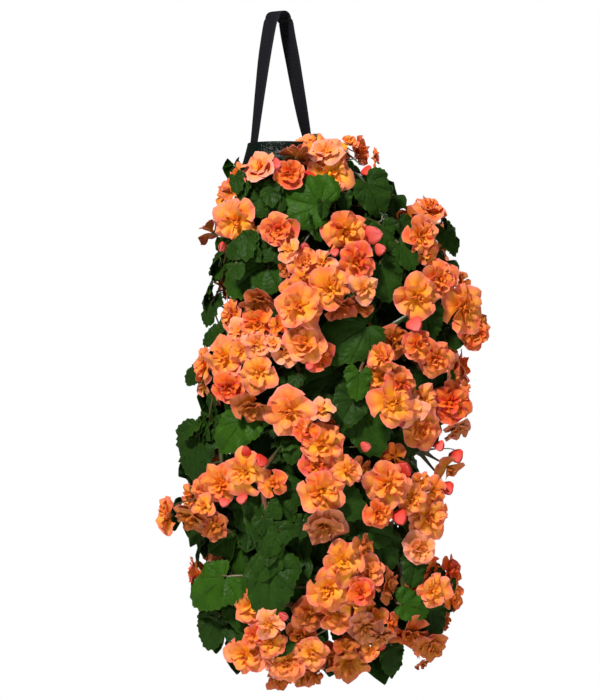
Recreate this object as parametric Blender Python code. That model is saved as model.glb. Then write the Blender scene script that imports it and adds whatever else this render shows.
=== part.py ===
"""Begonia hanging pouch: a tube of green film on a webbing strap, planted all round with double begonias.

Units are metres and +Z is up. The origin is the underside of the strap where it lies on its hook, -Y is
the front and +X the right. The places of the leaves and blooms were read off the photograph by eye, in
millimetres, and how far each stands out towards the front follows from the plant's outline.
"""

import math
import random

import bmesh
import bpy
from mathutils import Matrix, Vector
from mathutils.bvhtree import BVHTree

MM = 0.001
GAP = 0.3 * MM            # between pieces that touch
ROOM_GAP = 1.2 * GAP      # at least, between pieces that pass each other
READING_ZERO = 5.0        # the readings' zero lies this far left of the hook, in mm

# Strap
WEB_WIDTH = 25.0 * MM
WEB_THICK = 1.5 * MM
HOOK_RADIUS = 10.0 * MM
HOOK_FACETS = 8
LOOP_TURN = 45.0          # degrees between the loop at its top and the photograph's plane
TUCK_DEPTH = 46.0 * MM    # length of each strap end inside the pouch
STRAP_CLEAR = 0.5 * MM    # between it and the film there, on top of the gap
# Legs between the hook and the mouth: height, distances right and back in mm, turn in degrees
RIGHT_LEG = ((-12, 9.6, 8.4, 46), (-30, 12.6, 11.0, 47), (-60, 18.4, 14.8, 46), (-101, 25.6, 19.9, 41),
             (-137, 32.2, 24.6, 33))
LEFT_LEG = ((-12, -9.4, -8.2, 43), (-30, -12.9, -10.6, 41), (-60, -17.5, -14.8, 38), (-101, -22.4, -19.8, 31),
            (-137, -26.6, -24.6, 25))

# Pouch: height, half width and half depth of the tube, in mm
POUCH_X = 4.0 * MM
POUCH_WALL = 1.2 * MM
POUCH_SIDES = 16
STRAP_SIDE = 29.5         # degrees from +X to the middle of the tube's side that the strap lies on
LEFT_CORNERS = (10, 9)    # the tube's corners, front one first, at each side of a strap end
RIGHT_CORNERS = (1, 2)
SECTIONS = ((-166, 43.0, 62.0), (-186, 47.5, 62.5), (-222, 57.0, 62.5), (-262, 62.5, 62.5),
            (-590, 62.5, 62.5), (-622, 71.0, 51.0), (-650, 83.0, 33.0), (-668, 92.0, 14.0),
            (-679, 96.5, 2.2))
SOIL_TOP = 1              # the section that the soil is filled to
FLOOR = 7                 # the section below which the tube is sealed flat
HOLE_RADIUS = 11.0 * MM   # planting holes, each in the middle of one of the tube's sides
HOLE_SIDES = 7
HOLE_CUT = 12.0 * MM      # how far a hole's cutter reaches, either way from the film

# The planted outline: height, left edge, right edge and reach to the front, in mm
HABIT = ((-140, -5, 100, 40), (-180, -38, 118, 66), (-215, -74, 128, 88), (-250, -90, 205, 100),
         (-300, -90, 222, 112), (-350, -76, 245, 118), (-400, -90, 262, 120), (-450, -108, 242, 120),
         (-500, -106, 240, 118), (-550, -126, 238, 116), (-600, -126, 222, 112), (-640, -158, 212, 108),
         (-680, -100, 202, 104), (-720, -110, 232, 100), (-760, -106, 226, 92), (-800, -100, 210, 76),
         (-830, -25, 118, 56), (-862, -10, 60, 36))
RIDGE = 32.0              # where the outline reaches furthest forward, in mm right of the hook

# Stems: planting hole as degrees from the front towards +X and height, then the tip, in mm.
# The one that starts in the mouth, at two distances right and back, has its way over the rim instead.
STEMS = {
    "top_left": ((-38.0, -238), (-44, -74, -214)),
    "top_right": (("mouth", 24, -14), (31, -22, -160), (42, -33, -154), (56, -46, -162), (68, -58, -192)),
    "top_back": ((187.0, -240), (34, 84, -230)),
    "left_upper": ((-60.5, -290), (-50, -84, -322)),
    "centre_upper": ((7.0, -300), (48, -98, -336)),
    "right_upper": ((74.5, -262), (184, -34, -322)),
    "left_middle": ((-60.5, -405), (-56, -78, -448)),
    "right_middle": ((52.0, -372), (158, -62, -440)),
    "centre_middle": ((7.0, -420), (30, -98, -470)),
    "right_lower": ((74.5, -480), (168, -52, -580)),
    "left_lower": ((-60.5, -520), (-68, -62, -606)),
    "centre_lower": ((7.0, -530), (72, -86, -640)),
    "bottom_left": ((-15.5, -570), (2, -74, -752)),
    "bottom_right": ((52.0, -560), (162, -42, -742)),
    "back_upper": ((142.0, -345), (84, 84, -420)),
    "back_lower": ((187.0, -500), (38, 84, -670)),
}
STEM_RADIUS = (4.0 * MM, 2.7 * MM)
STEM_SIDES = 5
NODE_SPACING = 29.0 * MM  # along a stem between the short joints that leaves grow from
NODE_LENGTH = 5.0 * MM
NODE_PLACE = 0.62         # of the way along each node's own stretch of the stem
STRAIGHT = 7.0 * MM       # how far a stem runs straight out of its hole
STEM_STEPS = 12           # points along its bend
STEM_REACH = 0.42         # how strongly it bends outward at first, as a share of its reach
STEM_HANG = 0.36          # and downward at its tip, as a share of its drop
STEM_CURL = 0.1           # and back outward there, as a share of its reach
SOIL_CUT = 30.0 * MM      # how far beyond the film the cutter of its socket in the soil reaches
ROOT_DEPTH = 28.0 * MM    # how far a stem stands in the soil

# Leaves: right, height and length of the blade in mm, where the tip points in degrees from +X, and tone.
# Tones: b bright, m middle, d dark and deeper in, f filler behind the rest
LEAVES = (
    (32, -242, 88, 164, "b"), (-30, -333, 86, 208, "m"), (124, -234, 60, -62, "m"), (-20, -240, 62, 200, "d"),
    (92, -410, 96, 212, "m"), (50, -463, 92, 200, "d"), (105, -467, 46, -96, "b"), (117, -520, 84, -68, "m"),
    (-50, -528, 66, 232, "b"), (-98, -553, 76, -100, "d"), (-8, -625, 92, -96, "m"), (84, -613, 72, -20, "m"),
    (121, -651, 66, -10, "m"), (-78, -723, 78, 212, "b"), (-6, -719, 84, -92, "m"), (-78, -779, 52, -104, "d"),
    (137, -338, 62, -75, "m"), (163, -306, 48, -60, "m"), (135, -285, 44, -80, "m"), (191, -394, 50, -80, "m"),
    (222, -286, 50, -50, "m"), (45, -285, 40, -90, "d"), (88, -240, 28, -90, "m"), (-80, -375, 48, 255, "d"),
    (-78, -411, 34, 200, "d"), (-66, -310, 32, 200, "d"), (15, -476, 54, 180, "m"), (92, -500, 56, -120, "d"),
    (22, -550, 36, -90, "m"), (165, -538, 44, -60, "d"), (182, -465, 46, -90, "d"), (4, -671, 28, -90, "b"),
    (175, -701, 46, -100, "m"), (173, -746, 50, -10, "b"), (199, -762, 48, -75, "d"), (147, -812, 46, -90, "d"),
    (135, -682, 58, -80, "d"), (83, -776, 38, -90, "d"), (-103, -458, 40, 190, "d"), (-28, -676, 58, 220, "f"),
    (46, -672, 56, -80, "f"), (152, -376, 60, -80, "f"), (-8, -300, 52, 190, "f"), (-42, -300, 44, 200, "f"),
    (4, -532, 58, -95, "f"), (104, -588, 52, -70, "f"), (16, -588, 54, -90, "f"), (126, -548, 48, -70, "f"),
    (-62, -664, 54, 215, "f"), (20, -705, 44, -60, "f"), (160, -660, 50, -70, "f"), (84, -268, 50, -60, "f"),
    (66, -446, 44, -60, "f"), (-4, -572, 44, 250, "f"), (120, -300, 44, -70, "f"), (160, -500, 44, -70, "f"),
)
LEAF_WIDTH = 0.88         # of its length
LEAF_THICK = 0.9 * MM
PETIOLE = 1.15 * MM       # half its thickness
KNEE_SWELL = 1.4          # how much thicker it is where it bends
KNEES = ((6, 4), (4, 10), (10, 1))    # ways it may bend: mm back from its blade's base, and mm below
KNEE_LEAN = 0.12          # how much of the way to the stem the bend moves
SHORTEST_PETIOLE = 12.0 * MM
LONGEST_PETIOLE = 150.0 * MM
OUTWARD = 0.25            # least cosine between a stem's facet and the petiole that grows from it
STRAIGHT_FAVOUR = 0.3     # how much a facet that faces the blade counts as nearer
NEAREST = 30              # places that are tried, nearest first
LEAF_DEPTH = {"b": 0.92, "m": 0.80, "d": 0.66, "f": 0.50}
LEAF_OUT = 0.9            # how much a leaf faces outward and to the front or back, and how much upward
LEAF_UP = 0.35
LEAF_TURN = 0.12          # how unevenly
LEAF_FOLD = (0.10, 0.24)  # least and most rise of its sides from the rib, and droop of its tip
LEAF_DROOP = (0.10, 0.30)
LEAF_CUP = 0.22           # how much its margin turns down again
LEAF_WAVE = 0.035
LEAF_BACK = 0.32          # from its place back to where its veins meet, as a share of its length
LEAF_SHIFT = (7.0 * MM, 42.0 * MM)    # a leaf without room moves in depth by such steps, up to so much

# Sprays: right, height and width of each bloom in mm, the way it faces and its tone.
# Facing: f front, l left, r right, u up, d down, b away. Tones: y yellow, o orange, r red, p pale, s shaded.
# A bud has tone R for red or P for pink, and its length in place of a width.
SPRAYS = {
    "top_centre": ((70, -207, 46, "f", "y"), (50, -180, 30, "u", "y"), (66, -178, 34, "u", "p"),
                   (28, -182, 36, "b", "p"), (20, -208, 34, "f", "r"), (88, -184, 28, "r", "p"),
                   (44, -213, 27, "d", "R"), (74, -234, 14, "d", "P")),
    "top_right": ((108, -175, 36, "r", "o"), (93, -166, 22, "u", "o"), (128, -184, 24, "r", "o"),
                  (116, -202, 16, "d", "R")),
    "top_left": ((-25, -199, 40, "u", "p"), (-46, -209, 30, "l", "o"), (-42, -228, 28, "f", "r"),
                 (-64, -235, 33, "l", "o"), (-3, -196, 16, "r", "P")),
    "left_upper": ((-47, -268, 48, "f", "y"), (-79, -275, 33, "b", "p"), (-28, -273, 17, "r", "P"),
                   (-64, -298, 14, "d", "P")),
    "right_single": ((90, -281, 50, "f", "o"), (102, -318, 42, "f", "r"), (75, -306, 14, "d", "P"),
                     (122, -284, 26, "r", "P"), (131, -302, 18, "r", "P")),
    "centre_upper": ((6, -279, 42, "f", "r"), (38, -318, 38, "f", "o"), (60, -320, 30, "f", "p"),
                     (18, -303, 28, "l", "p"), (37, -338, 28, "f", "o"), (27, -353, 30, "f", "y"),
                     (15, -326, 24, "l", "s"), (38, -300, 14, "u", "P"), (57, -335, 14, "d", "R")),
    "centre_inner": ((70, -350, 42, "f", "y"), (112, -350, 33, "f", "p"), (32, -372, 50, "f", "o"),
                     (82, -374, 36, "d", "r"), (108, -370, 28, "f", "s")),
    "left_middle_top": ((-53, -382, 38, "l", "o"), (-19, -366, 40, "d", "o"), (-20, -393, 36, "f", "r"),
                        (5, -397, 22, "f", "r"), (-44, -403, 28, "f", "p"), (-60, -409, 28, "l", "s")),
    "left_middle": ((-60, -436, 44, "f", "o"), (-88, -445, 36, "l", "o"), (-40, -428, 28, "f", "y"),
                    (-21, -420, 34, "f", "p"), (-10, -436, 20, "r", "s")),
    "left_middle_low": ((-20, -453, 40, "f", "y"), (-55, -473, 38, "f", "r"), (-90, -471, 22, "l", "p"),
                        (-74, -480, 28, "l", "s"), (-27, -497, 42, "d", "o")),
    "centre_middle": ((38, -418, 44, "f", "o"), (17, -428, 32, "f", "p"), (59, -434, 33, "r", "r"),
                      (0, -416, 22, "u", "p"), (44, -445, 15, "d", "P")),
    "right_top": ((195, -248, 39, "u", "o"), (184, -284, 40, "f", "o"), (168, -261, 28, "l", "s"),
                  (213, -296, 33, "r", "y"), (192, -308, 24, "f", "o"), (210, -317, 28, "r", "p")),
    "right_upper": ((178, -360, 48, "f", "y"), (208, -338, 40, "f", "r"), (238, -343, 33, "r", "o"),
                    (174, -394, 26, "d", "P")),
    "right_edge_top": ((239, -374, 50, "f", "y"), (252, -404, 40, "f", "r"), (263, -389, 20, "r", "p"),
                       (217, -425, 36, "r", "s")),
    "right_middle": ((178, -420, 36, "f", "r"), (200, -437, 40, "f", "o"), (150, -413, 34, "f", "s"),
                     (132, -434, 34, "l", "o")),
    "right_middle_low": ((134, -459, 42, "f", "y"), (156, -468, 34, "f", "r"), (147, -492, 46, "f", "y"),
                         (170, -500, 34, "f", "p"), (183, -489, 36, "f", "o"), (157, -515, 15, "d", "P")),
    "right_edge": ((226, -459, 42, "r", "p"), (220, -492, 46, "f", "r"), (228, -526, 34, "d", "p"),
                   (241, -474, 22, "r", "o")),
    "right_lower": ((183, -525, 46, "f", "o"), (219, -575, 33, "d", "o"), (228, -558, 22, "d", "R"),
                    (216, -598, 22, "d", "R"), (206, -545, 17, "d", "P")),
    "right_cluster": ((141, -592, 48, "f", "y"), (148, -559, 30, "l", "s"), (130, -627, 34, "f", "r"),
                      (171, -611, 34, "f", "o"), (161, -573, 24, "u", "R"), (159, -588, 20, "d", "P"),
                      (156, -632, 26, "d", "R")),
    "right_cluster_low": ((193, -634, 44, "f", "o"), (198, -602, 33, "f", "r"), (183, -590, 26, "f", "o"),
                          (211, -629, 30, "r", "r")),
    "centre_lower": ((20, -501, 48, "f", "o"), (60, -541, 44, "f", "y"), (40, -525, 28, "f", "r"),
                     (58, -499, 28, "u", "p"), (71, -516, 20, "f", "s")),
    "centre_lower_tail": ((54, -566, 38, "f", "r"), (89, -574, 34, "f", "y"), (59, -600, 46, "f", "o"),
                          (110, -573, 28, "r", "s"), (73, -581, 20, "d", "P"), (113, -545, 17, "r", "P")),
    "low_centre": ((62, -645, 46, "d", "p"), (85, -687, 44, "f", "y"), (118, -700, 38, "f", "o"),
                   (112, -671, 33, "r", "s")),
    "low_centre_heart": ((67, -723, 50, "f", "y"), (78, -752, 42, "f", "o"), (107, -724, 36, "f", "r"),
                         (142, -718, 36, "r", "s"), (98, -740, 28, "f", "y")),
    "low_centre_tail": ((113, -772, 38, "d", "p"), (121, -756, 32, "f", "o"), (147, -765, 28, "r", "r"),
                        (134, -782, 28, "d", "p"), (121, -797, 30, "f", "o"), (94, -815, 44, "d", "y"),
                        (90, -793, 28, "u", "s"), (70, -808, 30, "f", "s"), (134, -795, 12, "r", "R")),
    "bottom_left": ((-27, -743, 42, "f", "y"), (-48, -769, 42, "l", "y"), (-6, -766, 32, "f", "p"),
                    (-25, -781, 26, "f", "r"), (-4, -789, 34, "f", "y"), (12, -755, 16, "r", "P")),
    "bottom_left_tail": ((-36, -806, 42, "f", "y"), (15, -815, 42, "f", "o"), (-10, -811, 26, "l", "p"),
                         (5, -840, 28, "d", "s"), (33, -834, 33, "d", "s"), (51, -828, 28, "r", "s")),
    "bottom_centre": ((45, -752, 38, "f", "s"), (34, -782, 34, "f", "s"), (46, -801, 36, "f", "y")),
    "left_lower": ((-35, -577, 46, "f", "y"), (-75, -550, 42, "l", "y"), (-67, -592, 40, "f", "o"),
                   (-7, -590, 30, "f", "r"), (-34, -551, 16, "u", "R"), (-15, -562, 22, "d", "R"),
                   (-39, -610, 16, "d", "P"), (-61, -614, 16, "d", "P")),
    "left_lower_tail": ((-85, -600, 34, "f", "o"), (-104, -635, 42, "d", "y"), (-104, -609, 34, "l", "o"),
                        (-136, -633, 38, "l", "o"), (-75, -645, 34, "f", "s"), (-87, -619, 24, "f", "o")),
    "right_bottom": ((182, -674, 38, "f", "p"), (201, -703, 33, "r", "r"), (223, -707, 36, "r", "r"),
                     (199, -726, 36, "f", "y"), (172, -719, 27, "d", "R")),
    "right_bottom_tail": ((226, -738, 34, "r", "r"), (217, -767, 22, "r", "s"), (169, -782, 44, "d", "s"),
                          (198, -799, 40, "d", "o"), (187, -823, 20, "d", "s")),
}
# The back repeats some sprays and leaves of the front, mirrored within the outline
BACK_SPRAYS = ("right_single", "left_upper", "centre_inner", "right_upper", "left_middle", "centre_middle",
               "centre_lower", "right_bottom", "low_centre_heart")
BACK_LEAVES = (0, 1, 2, 4, 5, 7, 8, 10, 11, 12, 14, 16, 26, 36, 42)

FACING = {"f": (0, -1, 0), "l": (-1, -0.3, 0), "r": (1, -0.3, 0), "u": (0, -0.4, 1.1),
          "d": (0, -0.5, -1.1), "b": (0, 1.5, 1.8)}
LARGE_BLOOM = 43.0 * MM   # from this width a bloom has five petals in a ring instead of four
SIDEWAYS = 0.45           # a bloom turned sideways, this far round, sits near the middle of the plant's depth
SIDE_SHARE = 0.25
SHADED_SHARE = 0.86       # of the plant's depth, where shaded blooms are
BLOOM_OUT = 0.8           # how much a bloom faces straight outward, next to the way read off
BLOOM_TURN = 0.28         # how unevenly
STALK = 0.95 * MM         # radius of a flower's own thin stalk
PEDUNCLE = 1.9 * MM       # radius of the stalk that a spray's flowers fork from
FORK = 24.0 * MM          # from the blooms back to the fork
LONGEST_FORK = 130.0 * MM
LONGEST_STALK = 85.0 * MM
FORK_RINGS = 4            # short joints at the fork, whose facets the flowers' stalks grow from
FORK_STEP = 3.6 * MM
FORK_SIDES = 4
FORK_TAPER = (0.9, 1.05, 1.15)        # its thickness at its tip, at its bend and at the stem
LIFT = 3.0 * MM           # how far from where it grows a stalk is tested for room
BLOOM_SHIFT = (4.0 * MM, 56.0 * MM)   # a bloom without room moves in depth by such steps, up to so much
BEHIND = 5.0 * MM         # how far behind its blooms' necks a spray's middle is taken
FORK_ABOVE = 30.0 * MM    # a fork lies on the way from there to the pouch's axis, so far above it
FORK_BACKS = (1.0, 0.7, 1.4, 0.4, 1.8)    # places that are tried for it, as shares of FORK back
FORK_ASIDES = ((0, 0), (0, 10), (0, -10), (10, 0), (-10, 0), (0, 20))    # and mm right and up of there
SHORTEST_FORK = 22.0 * MM
FORK_MIDDLE = 0.62        # where its stalk bends, as a share of the way to the stem
FORK_SAG = 0.05           # and how far the bend hangs, as a share of its length
FORK_ENDS = (0.2, 0.8)    # places along each stretch of a stem that a stalk may reach for
FORK_SHORT = 1.0 * MM     # it starts this much short of the stem, and closes in by steps
FORK_CLOSE = 1.6 * GAP
FORK_TRIES = 6
STALK_OUTWARD = 0.2       # least cosine between a fork's facet and the stalk that grows from it
STALK_FACING = 0.4        # how much the way that the bloom faces counts in choosing the facet
STALK_TRIES = 14
STALK_BEND = 4.0 * MM     # a stalk that comes from the side bends so far behind the bloom
STALK_SIDEWAYS = 0.5      # cosine between it and the bloom's axis under which it does
ADOPT_ASIDES = ((0, 0), (6, 0), (-6, 0), (0, 6), (0, -6))    # mm that a bloom may move to reach another spray
ADOPT_SHIFT = (6.0 * MM, 42.0 * MM)
ADOPT_NEAREST = 8

# Blooms, as shares of their radius: reach and height of the petals' tips and of the notches between them,
# then reach, height and half turn of the valley and of the raised ring, and the middle's height
TIP_REACH = (0.98, 1.08)
NOTCH_REACH = (0.76, 0.86)
TIP_RISE = (-0.22, 0.16)
NOTCH_RISE = 0.05
BLOOM_RINGS = ((0.40, 0.12, 1), (0.50, 0.44, 0))
RING_RISE = 0.06          # how unevenly they rise
MIDDLE_RISE = 0.20
BLOOM_NECK = 0.20         # from a bloom's middle back to its stalk, as a share of its width
BUD_NECK = 0.40           # the same of a bud, as a share of its length
BUD_RADIUS = 0.30
BUD_TIP = 0.62

SHARP = 35.0              # degrees between two faces from which their edge shows
COLOURS = {               # linear red, green, blue, then roughness
    "strap": (0.012, 0.012, 0.016, 0.75), "pouch": (0.008, 0.028, 0.018, 0.30),
    "soil": (0.030, 0.018, 0.010, 0.95), "plant": (0.030, 0.120, 0.020, 0.45),
    "spray": (0.830, 0.220, 0.060, 0.50),
}


def between(rows, height):
    """Reads a profile at a height, by straight lines between its rows."""
    if height >= rows[0][0]:
        return rows[0][1:]
    for above, below in zip(rows, rows[1:]):
        if height >= below[0]:
            part = (above[0] - height) / (above[0] - below[0])
            return tuple(a + (b - a) * part for a, b in zip(above[1:], below[1:]))
    return rows[-1][1:]


def outline_place(x, height, share, side):
    """A point at a share of the plant's reach, and the way out from it. side is -1 in front, 1 behind."""
    left, right, reach = between(HABIT, height / MM)
    edge = (right if x / MM > RIDGE else left) - RIDGE
    across = min(abs((x / MM - RIDGE) / edge), 1.0)
    depth = math.sqrt(1.0 - across * across)
    out = Vector((across / edge, side * depth / reach, 0.0)).normalized()
    return Vector((x, side * share * reach * MM * depth, height)), out


def drawn(*key):
    """A random source of a piece's own, so that no piece depends on another's draws."""
    return random.Random("-".join(str(part) for part in key))


def jitter(rng, amount):
    return Vector([rng.uniform(-amount, amount) for _ in range(3)])


def zip_rings(first, second):
    """Triangles between two closed rings that start side by side and turn about the way to the second."""
    faces = []
    i = j = 0
    while i < len(first) or j < len(second):
        a = first[i % len(first)]
        b = second[j % len(second)]
        if (i + 1) * len(second) <= (j + 1) * len(first):
            faces.append((a, first[(i + 1) % len(first)], b))
            i += 1
        else:
            faces.append((a, second[(j + 1) % len(second)], b))
            j += 1
    return faces


def tube_rings(path, radii, sides, start):
    """Rings of points round a path. start is the direction of each ring's first point."""
    rings = []
    normal = start
    for k, point in enumerate(path):
        along = (path[min(k + 1, len(path) - 1)] - path[max(k - 1, 0)]).normalized()
        normal = (normal - along * normal.dot(along)).normalized()
        cross = along.cross(normal)
        rings.append([point + (normal * math.cos(turn) + cross * math.sin(turn)) * radii[k]
                      for turn in (2 * math.pi * s / sides for s in range(sides))])
    return rings


def carried(ring, centre, target, along, radius):
    """A ring of the same number of points round target, each on the side where it was round centre."""
    arms = [point - centre for point in ring]
    return [target + (arm - along * arm.dot(along)).normalized() * radius for arm in arms]


def middle_of(points):
    return sum(points, Vector()) / len(points)


class Mesh:
    """Points and triangles of one closed piece."""

    def __init__(self):
        self.points = []
        self.faces = []

    def add(self, ring):
        first = len(self.points)
        self.points.extend(ring)
        return list(range(first, len(self.points)))

    def tube(self, rings):
        """Joins rings end to end and closes both ends, the first end's triangles first."""
        numbers = [self.add(ring) for ring in rings]
        self.fan(numbers[0][::-1])
        for a, b in zip(numbers, numbers[1:]):
            self.faces += zip_rings(a, b)
        self.fan(numbers[-1])

    def fan(self, ring):
        self.faces += [(ring[0], ring[k], ring[k + 1]) for k in range(1, len(ring) - 1)]

    def join(self, other, same):
        """Adds another mesh, whose points named in same are points of this one already."""
        numbers = {}
        for number, point in enumerate(other.points):
            numbers[number] = same[number] if number in same else self.add([point])[0]
        self.faces += [tuple(numbers[corner] for corner in face) for face in other.faces]

    def grown(self, amount):
        """The points moved outward, for a test that keeps a gap."""
        normals = [Vector() for _ in self.points]
        volume = 0.0
        for a, b, c in self.faces:
            pa, pb, pc = self.points[a], self.points[b], self.points[c]
            normal = (pb - pa).cross(pc - pa)
            volume += pa.dot(normal)
            normal.normalize()
            for corner in (a, b, c):
                normals[corner] += normal
        amount = amount if volume > 0 else -amount
        return [point + normal.normalized() * amount for point, normal in zip(self.points, normals)]

    def tree(self):
        return BVHTree.FromPolygons(self.points, self.faces)

    def crosses_itself(self):
        tree = self.tree()
        return any(not set(self.faces[a]) & set(self.faces[b]) for a, b in tree.overlap(tree))


def tube(path, radii, sides, start=Vector((0.3, 0.2, 1.0))):
    """A closed tube along a path."""
    mesh = Mesh()
    mesh.tube(tube_rings(path, radii, sides, start))
    return mesh


class Room:
    """Everything placed so far, so that what comes next can be kept clear of it."""

    def __init__(self):
        self.placed = []

    def bounds(self, points):
        return (Vector([min(p[i] for p in points) for i in range(3)]),
                Vector([max(p[i] for p in points) for i in range(3)]))

    def add(self, mesh, owner):
        self.placed.append((owner, *self.bounds(mesh.points), mesh.tree()))

    def drop(self, owner):
        """Frees the room of everything that this owner placed."""
        self.placed = [row for row in self.placed if row[0] != owner]

    def clear(self, mesh, skip=(), gap=ROOM_GAP):
        """Whether a mesh crosses nothing, nor comes nearer than the gap to it."""
        points = mesh.grown(gap)
        low, high = self.bounds(points)
        tree = None
        for owner, other_low, other_high, other in self.placed:
            if owner in skip or any(low[i] > other_high[i] or high[i] < other_low[i] for i in range(3)):
                continue
            tree = tree or BVHTree.FromPolygons(points, mesh.faces)
            if tree.overlap(other):
                return False
        return True


def pouch_ring(height, half_width, half_depth, inset=0.0):
    """The tube's corners at a height, moved inward by inset."""
    points = []
    for k in range(POUCH_SIDES):
        turn = math.radians(STRAP_SIDE + (k - 1.5) * 360 / POUCH_SIDES)
        points.append(Vector((POUCH_X + (half_width * MM - inset) * math.cos(turn),
                              (half_depth * MM - inset) * math.sin(turn), height * MM)))
    return points


def pouch_mesh():
    mesh = Mesh()
    outside = [mesh.add(pouch_ring(*section)) for section in SECTIONS]
    inside = [mesh.add(pouch_ring(*section, POUCH_WALL)) for section in SECTIONS[:FLOOR + 1]]
    for rings in (outside, inside):
        for above, below in zip(rings, rings[1:]):
            mesh.faces += zip_rings(above, below)
    mesh.faces += zip_rings(outside[0], inside[0])
    mesh.fan(outside[-1])
    mesh.fan(inside[-1])
    return mesh


def soil_mesh():
    mesh = Mesh()
    inset = POUCH_WALL + GAP
    rings = [pouch_ring(*section, inset) for section in SECTIONS[SOIL_TOP:FLOOR + 1]]
    for point in rings[-1]:
        point.z += GAP
    mesh.tube(rings)
    return mesh


def strap_side(height, left):
    """Middle of the tube's inner side that a strap end lies on, its way to the front and its way in."""
    ring = pouch_ring(height, *between(SECTIONS, height), POUCH_WALL)
    front, back = [ring[corner] for corner in (LEFT_CORNERS if left else RIGHT_CORNERS)]
    forward = (front - back).normalized()
    inward = forward.cross(Vector((0, 0, 1))) * (-1 if left else 1)
    return (front + back) / 2, forward, inward


def strap_rings(extra=0.0):
    """The strap's sections from its left end over the hook to its right end, as point, way across, way out."""
    stations = []
    clear = GAP + WEB_THICK / 2 + STRAP_CLEAR
    for left in (True, False):
        leg = []
        mouth = SECTIONS[0][0]
        for height in (mouth - TUCK_DEPTH / MM - extra, SECTIONS[SOIL_TOP][0], mouth):
            middle, forward, inward = strap_side(height, left)
            leg.append((middle + inward * clear, forward))
        for height, right, back, turn in reversed(LEFT_LEG if left else RIGHT_LEG):
            across = Vector((math.sin(math.radians(turn)), -math.cos(math.radians(turn)), 0))
            leg.append((Vector((right, back, height)) * MM, across))
        stations.append(leg)
    middle_radius = HOOK_RADIUS + WEB_THICK / 2
    half = math.pi / HOOK_FACETS / 2
    top = math.radians(LOOP_TURN)
    across = Vector((math.sin(top), -math.cos(top), 0))
    arc = []
    for k in range(HOOK_FACETS):
        turn = (2 * k + 1 - HOOK_FACETS) * half
        out = middle_radius / math.cos(half) * math.sin(turn)
        up = middle_radius / math.cos(half) * math.cos(turn) - HOOK_RADIUS
        arc.append((Vector((out * math.cos(top), out * math.sin(top), up)), across))
    return stations[0] + arc + list(reversed(stations[1]))


def strap_mesh(grow=0.0, stations=None):
    """The webbing, or with grow the room that it takes."""
    stations = stations or strap_rings()
    mesh = Mesh()
    rings = []
    for k, (point, across) in enumerate(stations):
        before = (point - stations[k - 1][0]).normalized() if k else None
        after = (stations[k + 1][0] - point).normalized() if k + 1 < len(stations) else None
        before = before or after
        after = after or before
        along = (before + after).normalized()
        thick = (WEB_THICK / 2 + grow) / max(along.dot(before), 0.5)
        side = (across - along * across.dot(along)).normalized() * (WEB_WIDTH / 2 + grow)
        out = along.cross(side).normalized() * thick
        rings.append(mesh.add([point + side + out, point + side - out, point - side - out,
                               point - side + out]))
    mesh.fan(rings[0])
    for a, b in zip(rings, rings[1:]):
        mesh.faces += [(a[0], a[1], b[0]), (a[1], b[1], b[0]), (a[1], a[2], b[1]), (a[2], b[2], b[1]),
                       (a[2], a[3], b[2]), (a[3], b[3], b[2]), (a[3], a[0], b[0]), (a[3], b[0], b[3])]
    mesh.fan(rings[-1])
    return mesh


def radial(degrees):
    """The way out of the pouch at an angle from the front."""
    return Vector((math.sin(math.radians(degrees)), -math.cos(math.radians(degrees)), 0.0))


def wall_point(degrees, height):
    half_width, half_depth = between(SECTIONS, height)
    out = radial(degrees)
    return Vector((POUCH_X + out.x * half_width * MM, out.y * half_depth * MM, height * MM))


def stem_path(hole, *points):
    """From the root in the soil, straight out of its hole, then over the rim or in one bend to the tip."""
    points = [Vector(point) * MM for point in points]
    if hole[0] == "mouth":
        wall = Vector((hole[1] * MM, hole[2] * MM, SECTIONS[SOIL_TOP][0] * MM))
        out = Vector((0.0, 0.0, 1.0))
        way = [wall + out * STRAIGHT] + points
    else:
        wall = wall_point(*hole)
        out = radial(hole[0])
        start = wall + out * STRAIGHT
        tip = points[0]
        reach = (tip - start).length
        rise = STEM_HANG * max(start.z - tip.z, 0.0)
        before = tip + Vector((0, 0, rise)) - out * STEM_CURL * reach
        bend = (start, start + out * reach * STEM_REACH, before, tip)
        way = []
        for k in range(STEM_STEPS + 1):
            t = k / STEM_STEPS
            weights = ((1 - t) ** 3, 3 * t * (1 - t) ** 2, 3 * t * t * (1 - t), t ** 3)
            way.append(sum((point * w for point, w in zip(bend, weights)), Vector()))
    return [wall - out * ROOT_DEPTH] + with_nodes(way), out


def with_nodes(way):
    """The way's start, the two ends of each node along it, and its tip."""
    lengths = [0.0]
    for a, b in zip(way, way[1:]):
        lengths.append(lengths[-1] + (b - a).length)
    count = max(1, round(lengths[-1] / NODE_SPACING))
    path = [way[0]]
    for k in range(count):
        centre = (k + NODE_PLACE) * lengths[-1] / count
        for distance in (centre - NODE_LENGTH / 2, centre + NODE_LENGTH / 2):
            place = next(n for n in range(1, len(way)) if lengths[n] >= distance or n == len(way) - 1)
            part = (distance - lengths[place - 1]) / (lengths[place] - lengths[place - 1])
            path.append(way[place - 1].lerp(way[place], part))
    return path + [way[-1]]


def stem_start(out):
    """The direction of the first point of a stem's rings."""
    return Vector((0.1, 0.2, 1.0)) if abs(out.z) < 0.5 else Vector((1.0, 0.0, 0.0))


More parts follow.
